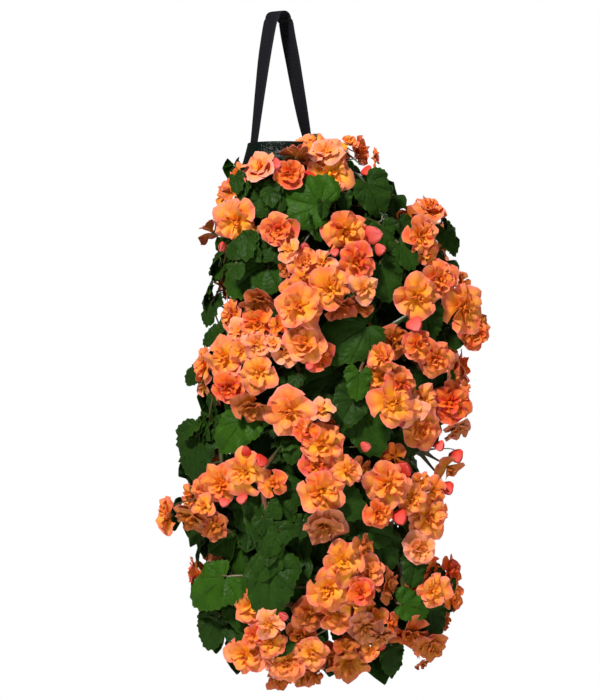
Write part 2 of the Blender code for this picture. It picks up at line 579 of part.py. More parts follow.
def rosette(width, petals, rng):
    """A double bloom about its axis +Z: waved outer petals, a valley and a raised inner ring."""
    mesh = Mesh()
    radius = width / 2
    outline = []
    for k in range(2 * petals):
        turn = math.pi * k / petals
        tip = k % 2 == 0
        out = radius * rng.uniform(*(TIP_REACH if tip else NOTCH_REACH))
        outline.append(Vector((out * math.cos(turn), out * math.sin(turn),
                               radius * rng.uniform(*TIP_RISE) if tip else radius * NOTCH_RISE)))
    rings = []
    for out, up, shift in BLOOM_RINGS:
        turns = [math.pi * (2 * k + shift) / petals for k in range(petals)]
        rings.append([Vector((radius * out * math.cos(t), radius * out * math.sin(t),
                              radius * (up + rng.uniform(-RING_RISE, RING_RISE)))) for t in turns])
    edge = mesh.add(outline)
    valley = mesh.add(rings[0])
    crown = mesh.add(rings[1])
    centre = mesh.add([Vector((0, 0, radius * MIDDLE_RISE))])[0]
    for k in range(petals):
        before, after = valley[k - 1], valley[k]
        tip, notch, last = edge[2 * k], edge[2 * k + 1], edge[2 * k - 1]
        mesh.faces += [(last, tip, before), (tip, after, before), (tip, notch, after),
                       (before, after, crown[k]), (after, crown[(k + 1) % petals], crown[k]),
                       (crown[k], crown[(k + 1) % petals], centre)]
    return mesh, edge


def bud_head(length):
    """A closed bud about its axis +Z."""
    mesh = Mesh()
    radius = BUD_RADIUS * length
    ring = mesh.add([Vector((radius * math.cos(t), radius * math.sin(t), 0.0))
                     for t in (math.pi / 2 * k for k in range(4))])
    tip = mesh.add([Vector((0, 0, length * BUD_TIP))])[0]
    mesh.faces += [(ring[k - 1], ring[k], tip) for k in range(4)]
    return mesh, ring


class Head:
    """One bloom or bud: where it is, where it faces, and its mesh with or without its stalk."""

    def __init__(self, spray, number, row, side):
        x, z, width, facing, self.tone = row
        self.width = width * MM
        self.bud = self.tone in "RP"
        rng = drawn("bloom", spray, number)
        share = SHADED_SHARE if self.tone == "s" else 1.0
        self.place, out = outline_place((x - READING_ZERO) * MM, z * MM, share, side)
        if facing in "lr" and abs(out.x) > SIDEWAYS:
            self.place.y *= SIDE_SHARE
        look = Vector(FACING[facing])
        look.y *= -side
        self.axis = (out * BLOOM_OUT + look + jitter(rng, BLOOM_TURN)).normalized()
        self.spin = rng.uniform(0, 2 * math.pi)
        self.name = "%s_%d" % (spray, number)
        self.shape_key = ("petals", self.name)

    def frame(self):
        turn = self.axis.to_track_quat("Z", "Y").to_matrix().to_4x4()
        return Matrix.Translation(self.place) @ turn @ Matrix.Rotation(self.spin, 4, "Z")

    def neck(self):
        return self.place - self.axis * self.width * (BUD_NECK if self.bud else BLOOM_NECK)

    def mesh(self, base=None, lift=0.0):
        """Closed at the neck, or with a stalk that grows from the three points of base."""
        if self.bud:
            mesh, edge = bud_head(self.width)
        else:
            petals = 5 if self.width > LARGE_BLOOM else 4
            mesh, edge = rosette(self.width, petals, drawn(*self.shape_key))
        frame = self.frame()
        mesh.points = [frame @ point for point in mesh.points]
        neck = self.neck()
        if base is None:
            back = mesh.add([neck])[0]
            mesh.faces += [(edge[k], edge[k - 1], back) for k in range(len(edge))]
            return mesh
        way = (neck - middle_of(base)).normalized()
        ring = [point + way * lift for point in base]
        centre = middle_of(ring)
        numbers = mesh.add(ring)
        self.base_numbers = numbers
        stops = [(neck, (way + self.axis).normalized())]
        if way.dot(self.axis) < STALK_SIDEWAYS:
            bend = neck - self.axis * STALK_BEND
            stops = [(bend, (way + self.axis * 0.8).normalized()), (neck, self.axis)]
        for stop, along in stops:
            ring = carried(ring, centre, stop, along, STALK)
            following = mesh.add(ring)
            mesh.faces += zip_rings(numbers, following)
            numbers, centre = following, stop
        arm = ring[0] - neck
        first = max(range(len(edge)), key=lambda k: arm.dot(mesh.points[edge[k]] - self.place))
        mesh.faces += zip_rings(numbers, edge[first:] + edge[:first])
        return mesh


# A blade's outline from one side of its notch round the tip to the other, as shares of its length
# along the rib and across. The lobe on the second side is the larger, as on a begonia.
BLADE = ((0.02, 0.04), (-0.17, 0.20), (0.02, 0.36), (0.20, 0.47), (0.32, 0.33), (0.48, 0.36),
         (0.83, 0.0), (0.56, -0.26), (0.42, -0.44), (0.28, -0.37), (0.06, -0.56), (-0.20, -0.38),
         (-0.17, -0.16), (0.02, -0.04))
SMALL_BLADE = ((0.02, 0.05), (-0.15, 0.22), (0.12, 0.44), (0.24, 0.32), (0.50, 0.34), (0.83, 0.0),
               (0.50, -0.36), (0.27, -0.34), (0.08, -0.52), (-0.18, -0.24), (0.02, -0.05))
RIB = (0.22, 0.50)
RIB_FROM = (4, 9)         # the outline's points where its triangles change from one rib point to the other
SMALL_BLADE_UNDER = 50.0 * MM


class Leaf:
    """One leaf: where its blade is, how it lies, and its mesh with or without its stalk."""

    def __init__(self, number, row, side):
        x, z, length, angle, self.tone = row
        self.length = length * MM
        rng = drawn("leaf", number, side)
        self.place, out = outline_place((x - READING_ZERO) * MM, z * MM, LEAF_DEPTH[self.tone], side)
        face = out * LEAF_OUT + Vector((0, LEAF_OUT * side, LEAF_UP))
        self.normal = (face + jitter(rng, LEAF_TURN)).normalized()
        turn = math.radians(angle)
        tip = Vector((math.cos(turn), 0, math.sin(turn)))
        self.along = (tip - self.normal * tip.dot(self.normal)).normalized()
        self.hand = rng.choice((-1, 1))
        self.fold = rng.uniform(*LEAF_FOLD)
        self.droop = rng.uniform(*LEAF_DROOP)

    def base(self):
        return self.place - self.along * self.length * LEAF_BACK

    def surface(self, u, v):
        """A point of the blade's middle surface, from shares of its length along and across."""
        across = self.normal.cross(self.along) * self.hand
        lift = self.fold * abs(v) - self.droop * max(u, 0.0) ** 2 - LEAF_CUP * v * v
        wave = LEAF_WAVE * math.sin(21 * u + 9 * v) * min(1.0, 3 * abs(v))
        return (self.base() + self.along * self.length * u + across * self.length * LEAF_WIDTH * v
                + self.normal * self.length * (lift + wave))

    def mesh(self, base=None, lift=0.0):
        """Closed at the notch, or with a stalk that grows from the four points of base."""
        small = self.length < SMALL_BLADE_UNDER or self.tone == "f"
        outline = SMALL_BLADE if small else BLADE
        rib = RIB[:1] if small else RIB
        mesh = Mesh()
        edges = []
        for half in (LEAF_THICK / 2, -LEAF_THICK / 2):
            shift = self.normal * half
            edge = mesh.add([self.surface(u, v) + shift for u, v in outline])
            middle = mesh.add([self.surface(u, 0.0) + shift for u in rib])
            edges.append(edge)
            near, far = (0, 0) if small else RIB_FROM
            faces = []
            for k in range(len(edge) - 1):
                faces.append((edge[k + 1], edge[k], middle[near <= k < far]))
            faces.append((edge[0], edge[-1], middle[0]))
            if not small:
                faces.append((middle[1], edge[near], middle[0]))
                faces.append((middle[0], edge[far], middle[1]))
            mesh.faces += faces if half > 0 else [face[::-1] for face in faces]
        front, back = edges
        for k in range(len(front) - 1):
            mesh.faces += [(front[k], front[k + 1], back[k]), (front[k + 1], back[k + 1], back[k])]
        mouth = [back[-1], back[0], front[0], front[-1]]
        if self.hand < 0:
            mesh.faces = [face[::-1] for face in mesh.faces]
            mouth = mouth[::-1]
        if base is None:
            mesh.fan(mouth[::-1])
            return mesh
        back_by, down_by = self.knee
        knee = self.base() - self.along * back_by * MM - self.normal * down_by * MM
        knee += (middle_of(base) - self.base()) * KNEE_LEAN
        way = (knee - middle_of(base)).normalized()
        ring = [point + way * lift for point in base]
        numbers = mesh.add(ring)
        self.base_numbers = numbers
        along = (way + (self.base() - knee).normalized()).normalized()
        ring = carried(ring, middle_of(ring), knee, along, PETIOLE * KNEE_SWELL)
        following = mesh.add(ring)
        mesh.faces += zip_rings(numbers, following)
        turns = [mouth[k:] + mouth[:k] for k in range(4)]
        best = min(turns, key=lambda turn: sum((mesh.points[a] - point).length for a, point in zip(turn, ring)))
        mesh.faces += zip_rings(following, best)
        return mesh


def steps(size, most):
    """0, then growing steps either way."""
    yield 0.0
    for k in range(1, int(most / size) + 1):
        yield -k * size
        yield k * size


class Stem:
    """A plant's main stem. Its leaves grow from the facets of its nodes."""

    def __init__(self, way):
        self.path, self.out = stem_path(*way)
        thick, thin = STEM_RADIUS
        last = len(self.path) - 2
        self.radii = [thick] + [thick + (thin - thick) * k / last for k in range(last + 1)]
        self.mesh = tube(self.path, self.radii, STEM_SIDES, stem_start(self.out))
        self.free = []
        for segment in range(2, len(self.path) - 1, 2):
            self.free += [(segment, side) for side in range(STEM_SIDES)]
        self.leaves = []

    def above_soil(self):
        return tube(self.path[1:], self.radii[1:], STEM_SIDES, stem_start(self.out))

    def corners(self, facet):
        """The four points round a node's facet."""
        segment, side = facet
        first, second = segment * STEM_SIDES, (segment + 1) * STEM_SIDES
        following = (side + 1) % STEM_SIDES
        return [first + side, first + following, second + following, second + side]

    def whole(self):
        """The stem and its leaves as one mesh."""
        mesh = Mesh()
        mesh.points = list(self.mesh.points)
        taken = set()
        for _, facet in self.leaves:
            corners = set(self.corners(facet))
            taken |= {face for face in self.mesh.faces if set(face) <= corners}
        mesh.faces = [face for face in self.mesh.faces if face not in taken]
        for leaf, facet in self.leaves:
            corners = self.corners(facet)
            blade = leaf.mesh([self.mesh.points[k] for k in corners])
            mesh.join(blade, dict(zip(leaf.base_numbers, corners)))
        return mesh


class Fork:
    """The stalk of a spray. Its flowers' stalks grow from the facets of its short joints."""

    def __init__(self, fork, middle, end):
        along = (middle - fork).normalized()
        path = [fork + along * FORK_STEP * k for k in range(FORK_RINGS)] + [middle, end]
        tip, bend, foot = [PEDUNCLE * share for share in FORK_TAPER]
        radii = [tip] + [PEDUNCLE] * (FORK_RINGS - 1) + [bend, foot]
        self.mesh = tube(path, radii, FORK_SIDES)
        self.path = path
        end_facets = FORK_SIDES - 2
        self.free = list(range(end_facets + 2 * FORK_SIDES * (FORK_RINGS - 1)))
        self.heads = []
        self.stalks = Room()

    def corners(self, facet):
        """The three points round a facet."""
        return self.mesh.faces[facet]

    def whole(self):
        """The stalk and its flowers as one mesh."""
        mesh = Mesh()
        mesh.points = list(self.mesh.points)
        taken = {facet for _, facet in self.heads}
        mesh.faces = [face for number, face in enumerate(self.mesh.faces) if number not in taken]
        for head, facet in self.heads:
            corners = self.corners(facet)
            flower = head.mesh([self.mesh.points[k] for k in corners])
            mesh.join(flower, dict(zip(head.base_numbers, corners)))
        return mesh


def facet_view(owner, facet):
    """A facet's corner points, their middle and the way out."""
    points = [owner.mesh.points[k] for k in owner.corners(facet)]
    normal = (points[1] - points[0]).cross(points[-1] - points[0]).normalized()
    return points, middle_of(points), normal


class Planting:
    """Places stems, leaves and sprays so that no piece crosses another."""

    def __init__(self):
        self.room = Room()
        self.stems = {}
        self.heads = {}
        self.forks = {}
        for name, mesh in (("strap", strap_mesh()), ("pouch", pouch_mesh()), ("soil", soil_mesh())):
            self.room.add(mesh, name)

    def grow_stems(self):
        for name, way in STEMS.items():
            stem = Stem(way)
            if not self.room.clear(stem.above_soil()):
                print("stem", name, "crosses another piece")
            self.stems[name] = stem
            self.room.add(stem.above_soil(), name)

    def place_leaf(self, number, row, side):
        leaf = Leaf(number, row, side)
        start = leaf.place.copy()
        for step in steps(*LEAF_SHIFT):
            leaf.place = start + Vector((0, step * -side, 0))
            if self.room.clear(leaf.mesh()) and self.root_leaf(leaf):
                return
        print("leaf", number, side, "has no room")

    def root_leaf(self, leaf):
        """Grows the leaf's stalk from the nearest facet that it can reach."""
        near = []
        for name, stem in self.stems.items():
            for facet in stem.free:
                base, centre, normal = facet_view(stem, facet)
                way = leaf.base() - centre
                facing = way.normalized().dot(normal)
                if SHORTEST_PETIOLE < way.length < LONGEST_PETIOLE and facing > OUTWARD:
                    cost = way.length * (1 + STRAIGHT_FAVOUR - STRAIGHT_FAVOUR * facing)
                    near.append((cost, name, facet, base))
        for _, name, facet, base in sorted(near, key=lambda row: row[0])[:NEAREST]:
            for leaf.knee in KNEES:
                if not self.room.clear(leaf.mesh(base, LIFT)):
                    continue
                whole = leaf.mesh(base)
                if self.room.clear(whole, (name,)) and not whole.crosses_itself():
                    stem = self.stems[name]
                    stem.free.remove(facet)
                    stem.leaves.append((leaf, facet))
                    self.room.add(whole, name)
                    return True
        return False

    def place_heads(self, spray, rows, side):
        self.heads[spray] = []
        for number, row in enumerate(rows):
            head = Head(spray, number, row, side)
            start = head.place.copy()
            for step in steps(*BLOOM_SHIFT):
                head.place = start + Vector((0, step * side, 0))
                if self.room.clear(head.mesh()):
                    self.room.add(head.mesh(), head.name)
                    self.heads[spray].append(head)
                    break
            else:
                print("bloom", head.name, "has no room")

    def fork_spray(self, spray):
        """Finds a fork behind the blooms with a stalk to a stem, and roots each bloom on it."""
        heads = self.heads[spray]
        middle = middle_of([head.neck() - head.axis * BEHIND for head in heads])
        inward = (Vector((POUCH_X, 0, middle.z + FORK_ABOVE)) - middle).normalized()
        best = None
        for back in FORK_BACKS:
            for right, up in FORK_ASIDES:
                place = middle + inward * back * FORK + Vector((right, 0, up)) * MM
                fork = self.fork_at(place)
                if fork is None:
                    continue
                rooted = self.root_heads(fork, heads)
                if best is None or rooted > best[0]:
                    best = (rooted, fork)
                if rooted == len(heads):
                    break
            if best is not None and best[0] == len(heads):
                break
        if best is None:
            print("spray", spray, "reaches no stem")
            return
        fork = best[1]
        self.forks[spray] = fork
        self.room.add(fork.mesh, spray)
        for head, facet in fork.heads:
            self.settle(head, spray, fork, facet)

    def settle(self, head, spray, fork, facet):
        """Counts a rooted bloom and its stalk as its spray's."""
        self.room.drop(head.name)
        self.room.add(head.mesh([fork.mesh.points[k] for k in fork.corners(facet)]), spray)

    def fork_at(self, place):
        """A clear stalk from a place to just short of a stem, or None."""
        near = []
        for stem in self.stems.values():
            for a, b in zip(stem.path[1:], stem.path[2:]):
                for part in FORK_ENDS:
                    point = a.lerp(b, part)
                    near.append(((point - place).length, point, stem))
        for distance, point, stem in sorted(near, key=lambda row: row[0])[:NEAREST]:
            if not SHORTEST_FORK < distance < LONGEST_FORK:
                continue
            tree = stem.mesh.tree()
            middle = place.lerp(point, FORK_MIDDLE) + Vector((0, 0, -FORK_SAG * distance))
            along = (point - middle).normalized()
            end = point - along * (STEM_RADIUS[0] + FORK_SHORT)
            for _ in range(FORK_TRIES):
                fork = Fork(place, middle, end)
                nearest = min(tree.find_nearest(corner)[3] for corner in fork.mesh.points[-4:] + [end])
                end = end + along * (nearest - FORK_CLOSE)
            fork = Fork(place, middle, end)
            if self.room.clear(fork.mesh) and not fork.mesh.crosses_itself():
                return fork
        return None

    def root_heads(self, fork, heads):
        """Roots as many blooms as it can, and says how many."""
        self.room.add(fork.mesh, "trial")
        for head in heads:
            self.root_head(fork, head, "trial")
        self.room.drop("trial")
        return len(fork.heads)

    def root_head(self, fork, head, owner):
        """Grows a bloom's stalk from the fork's facet that suits it best, if one does."""
        options = []
        for facet in fork.free:
            base, centre, normal = facet_view(fork, facet)
            way = head.neck() - centre
            long = way.length > LONGEST_STALK
            way.normalize()
            if way.dot(normal) > STALK_OUTWARD and not long:
                options.append((-way.dot(normal) - STALK_FACING * way.dot(head.axis), facet, base))
        for _, facet, base in sorted(options)[:STALK_TRIES]:
            if not self.room.clear(head.mesh(base, LIFT), (head.name,)):
                continue
            whole = head.mesh(base)
            stalk = head.mesh(base, GAP)
            if (self.room.clear(whole, (head.name, owner)) and fork.stalks.clear(stalk, gap=0.0)
                    and not whole.crosses_itself()):
                fork.stalks.add(stalk, head.name)
                fork.free.remove(facet)
                fork.heads.append((head, facet))
                return True
        return False

    def adopt(self):
        """Gives each bloom that its own spray couldn't reach to the nearest spray that can."""
        for heads in self.heads.values():
            rooted = [head for fork in self.forks.values() for head, _ in fork.heads]
            for head in heads:
                if head not in rooted and not self.adopted(head):
                    self.room.drop(head.name)
                    print("bloom", head.name, "reaches no stalk")

    def adopted(self, head):
        others = sorted(self.forks, key=lambda name: (self.forks[name].path[0] - head.neck()).length)
        start = head.place.copy()
        for right, up in ADOPT_ASIDES:
            for step in steps(*ADOPT_SHIFT):
                head.place = start + Vector((right * MM, step, up * MM))
                if not self.room.clear(head.mesh(), (head.name,)):
                    continue
                for name in others[:ADOPT_NEAREST]:
                    fork = self.forks[name]
                    if self.root_head(fork, head, name):
                        self.settle(head, name, fork, fork.heads[-1][1])
                        return True
        return False

    def plant(self):
        self.grow_stems()
        for number, row in enumerate(LEAVES):
            if row[4] != "f":
                self.place_leaf(number, row, -1)
        for spray, rows in SPRAYS.items():
            self.place_heads(spray, rows, -1)
        for spray in SPRAYS:
            self.fork_spray(spray)
        for number, row in enumerate(LEAVES):
            if row[4] == "f":
                self.place_leaf(number, row, -1)
        for spray in BACK_SPRAYS:
            self.place_heads("back_" + spray, [mirrored(row) for row in SPRAYS[spray]], 1)
        for number in BACK_LEAVES:
            self.place_leaf(number, mirrored_leaf(LEAVES[number]), 1)
        for spray in BACK_SPRAYS:
            self.fork_spray("back_" + spray)
        self.adopt()


def mirrored_x(x, height):
    left, right, _ = between(HABIT, height)
    return left + right - (x - READING_ZERO) + READING_ZERO


def mirrored(row):
    facing = {"l": "r", "r": "l"}.get(row[3], row[3])
    return (mirrored_x(row[0], row[1]), row[1], row[2], facing, row[4])


def mirrored_leaf(row):
    return (mirrored_x(row[0], row[1]), row[1], row[2], 180 - row[3], row[4])


def material(name):
    red, green, blue, roughness = COLOURS[name]
    made = bpy.data.materials.get(name) or bpy.data.materials.new(name)
    made.use_nodes = True
    shader = made.node_tree.nodes["Principled BSDF"]
    shader.inputs["Base Color"].default_value = (red, green, blue, 1.0)
    shader.inputs["Roughness"].default_value = roughness
    shader.inputs["Metallic"].default_value = 0.0
    return made


def new_object(name, mesh, look, collection=None):
    data = bpy.data.meshes.new(name)
    data.from_pydata([tuple(point) for point in mesh.points], [], mesh.faces)
    work = bmesh.new()
    work.from_mesh(data)
    bmesh.ops.recalc_face_normals(work, faces=work.faces)
    work.to_mesh(data)
    work.free()
    data.materials.append(material(look))
    made = bpy.data.objects.new(name, data)
    (collection or bpy.context.scene.collection).objects.link(made)
    return made


def cut(target, cutter_mesh):
    """Cuts a mesh from the target and applies the result."""
    cutter = new_object("cutter", cutter_mesh, target.data.materials[0].name)
    cutter.hide_render = True
    cutter.display_type = "WIRE"
    modifier = target.modifiers.new("cut", "BOOLEAN")
    modifier.operation = "DIFFERENCE"
    modifier.object = cutter
    modifier.solver = "EXACT"
    bpy.context.view_layer.update()
    graph = bpy.context.evaluated_depsgraph_get()
    result = bpy.data.meshes.new_from_object(target.evaluated_get(graph))
    target.modifiers.clear()
    target.data = result
    bpy.data.objects.remove(cutter)


def smooth(target):
    target.data.shade_smooth()
    target.data.set_sharp_from_angle(angle=math.radians(SHARP))


def make_strap():
    smooth(new_object("strap", strap_mesh(), "strap"))


def make_pouch():
    pouch = new_object("pouch", pouch_mesh(), "pouch")
    for hole in (way[0] for way in STEMS.values()):
        if hole[0] != "mouth":
            out = radial(hole[0])
            wall = wall_point(*hole)
            cut(pouch, tube([wall - out * HOLE_CUT, wall + out * HOLE_CUT], [HOLE_RADIUS] * 2, HOLE_SIDES))
    smooth(pouch)


def make_soil(planting):
    soil = new_object("soil", soil_mesh(), "soil")
    widened = STEM_RADIUS[0] + GAP / math.cos(math.pi / STEM_SIDES)
    for stem in planting.stems.values():
        ends = [stem.path[0] - stem.out * GAP, stem.path[1] + stem.out * SOIL_CUT]
        cut(soil, tube(ends, [widened] * 2, STEM_SIDES, stem_start(stem.out)))
    stations = strap_rings(extra=GAP / MM)
    for part in (stations[:3], stations[-3:]):
        cut(soil, strap_mesh(GAP, part))
    smooth(soil)


def make_plants(planting):
    for name, stem in planting.stems.items():
        new_object("plant_" + name, stem.whole(), "plant")


def make_sprays(planting):
    for spray, fork in planting.forks.items():
        new_object("spray_" + spray, fork.whole(), "spray")


def main():
    for old in list(bpy.data.objects):
        bpy.data.objects.remove(old)
    planting = Planting()
    planting.plant()
    make_strap()
    make_pouch()
    make_soil(planting)
    make_plants(planting)
    make_sprays(planting)


main()
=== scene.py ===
"""Looks of the begonia hanging pouch, built finely round the CAD frame.

Units are metres and +Z is up, in the frame's own axes: -Y is the front and the origin is where the strap
lies on its hook. The tables name each leaf and bloom as it was read off the photograph, in
millimetres, and where each one stands in depth is looked up among the frame's own points.
"""

import math
import random
from itertools import chain

import bmesh
import bpy
import numpy as np
from mathutils import Matrix, Vector
from mathutils.kdtree import KDTree


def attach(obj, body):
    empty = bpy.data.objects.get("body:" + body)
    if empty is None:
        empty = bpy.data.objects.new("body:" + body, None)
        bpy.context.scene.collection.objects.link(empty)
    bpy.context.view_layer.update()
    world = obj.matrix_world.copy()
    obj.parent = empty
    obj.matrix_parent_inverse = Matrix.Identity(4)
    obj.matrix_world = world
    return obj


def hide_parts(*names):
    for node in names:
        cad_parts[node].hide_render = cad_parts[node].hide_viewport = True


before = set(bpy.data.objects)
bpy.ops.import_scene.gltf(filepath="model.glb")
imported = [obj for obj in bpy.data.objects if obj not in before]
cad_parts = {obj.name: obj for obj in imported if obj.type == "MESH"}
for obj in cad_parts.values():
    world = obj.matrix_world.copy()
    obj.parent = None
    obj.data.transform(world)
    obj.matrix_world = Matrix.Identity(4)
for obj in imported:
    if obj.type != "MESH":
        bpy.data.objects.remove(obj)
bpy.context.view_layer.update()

MM = 0.001
READING_ZERO = 5.0        # the readings' zero lies this far left of the hook, in mm
FOUND = 0.05 * MM         # how near a point of the frame has to be to count as the one that is looked for
FRONT = -1                # the two sides of the plants, as the sign of Y
BACK = 1
POUCH_X = 4.0 * MM        # the tube's middle, right of the hook
GREY = (0.5, 0.5, 0.5)    # plain look and flow, where a piece needs no others
NONE = (0.0, 0.0, 0.0)

# The planted outline: height, left edge, right edge and reach to the front, in mm
HABIT = ((-140, -5, 100, 40), (-180, -38, 118, 66), (-215, -74, 128, 88), (-250, -90, 205, 100),
         (-300, -90, 222, 112), (-350, -76, 245, 118), (-400, -90, 262, 120), (-450, -108, 242, 120),
         (-500, -106, 240, 118), (-550, -126, 238, 116), (-600, -126, 222, 112), (-640, -158, 212, 108),
         (-680, -100, 202, 104), (-720, -110, 232, 100), (-760, -106, 226, 92), (-800, -100, 210, 76),
         (-830, -25, 118, 56), (-862, -10, 60, 36))
RIDGE = 32.0              # where the outline reaches furthest forward, in mm right of the hook

# Leaves: right, height and length of the blade in mm, where the tip points in degrees from +X, and tone.
# Tones: b bright, m middle, d dark and deeper in, f filler behind the rest.
# The deeper ones' darker greens are partly painted shade.
LEAVES = (
    (32, -242, 88, 164, "b"), (-30, -333, 86, 208, "m"), (124, -234, 60, -62, "m"),
    (-20, -240, 62, 200, "d"), (92, -410, 96, 212, "m"), (50, -463, 92, 200, "d"),
    (105, -467, 46, -96, "b"), (117, -520, 84, -68, "m"), (-50, -528, 66, 232, "b"),
    (-98, -553, 76, -100, "d"), (-8, -625, 92, -96, "m"), (84, -613, 72, -20, "m"),
    (121, -651, 66, -10, "m"), (-78, -723, 78, 212, "b"), (-6, -719, 84, -92, "m"),
    (-78, -779, 52, -104, "d"), (137, -338, 62, -75, "m"), (163, -306, 48, -60, "m"),
    (135, -285, 44, -80, "m"), (191, -394, 50, -80, "m"), (222, -286, 50, -50, "m"),
    (45, -285, 40, -90, "d"), (88, -240, 28, -90, "m"), (-80, -375, 48, 255, "d"),
    (-78, -411, 34, 200, "d"), (-66, -310, 32, 200, "d"), (15, -476, 54, 180, "m"),
    (92, -500, 56, -120, "d"), (22, -550, 36, -90, "m"), (165, -538, 44, -60, "d"),
    (182, -465, 46, -90, "d"), (4, -671, 28, -90, "b"), (175, -701, 46, -100, "m"),
    (173, -746, 50, -10, "b"), (199, -762, 48, -75, "d"), (147, -812, 46, -90, "d"),
    (135, -682, 58, -80, "d"), (83, -776, 38, -90, "d"), (-103, -458, 40, 190, "d"),
    (-28, -676, 58, 220, "f"), (46, -672, 56, -80, "f"), (152, -376, 60, -80, "f"),
    (-8, -300, 52, 190, "f"), (-42, -300, 44, 200, "f"), (4, -532, 58, -95, "f"), (104, -588, 52, -70, "f"),
    (16, -588, 54, -90, "f"), (126, -548, 48, -70, "f"), (-62, -664, 54, 215, "f"),
    (20, -705, 44, -60, "f"), (160, -660, 50, -70, "f"), (84, -268, 50, -60, "f"), (66, -446, 44, -60, "f"),
    (-4, -572, 44, 250, "f"), (120, -300, 44, -70, "f"), (160, -500, 44, -70, "f"),
)
LEAF_WIDTH = 0.88         # of its length
LEAF_THICK = 0.9 * MM
LEAF_DEPTH = {"b": 0.92, "m": 0.80, "d": 0.66, "f": 0.50}      # shares of the outline that leaves stand at
# Leaf colours by tone: partly the leaves' own greens and partly painted shade, darker deeper in.
LEAF_TONES_AND_SHADE = {"b": 1.0, "m": 0.34, "d": 0.10, "f": 0.05}       # from the dark to the bright colours
LEAF_OUT = 0.9            # how much a leaf faces out of the plant, the front or back, up, and at random
LEAF_FORWARD = 0.9
LEAF_UP = 0.35
LEAF_TURN = 0.12
LEAF_FOLD = (0.10, 0.24)  # ranges of how much a blade folds up along its rib, and droops at its tip
LEAF_DROOP = (0.10, 0.30)
LEAF_CUP = 0.22           # how much its sides turn down again
LEAF_WAVE = 0.035         # height of the waves in its sides
LEAF_BACK = 0.32          # from its place to where its stalk ends
LEAF_SEARCH = (7 * MM, 42 * MM)       # steps and range in depth in which it is looked for
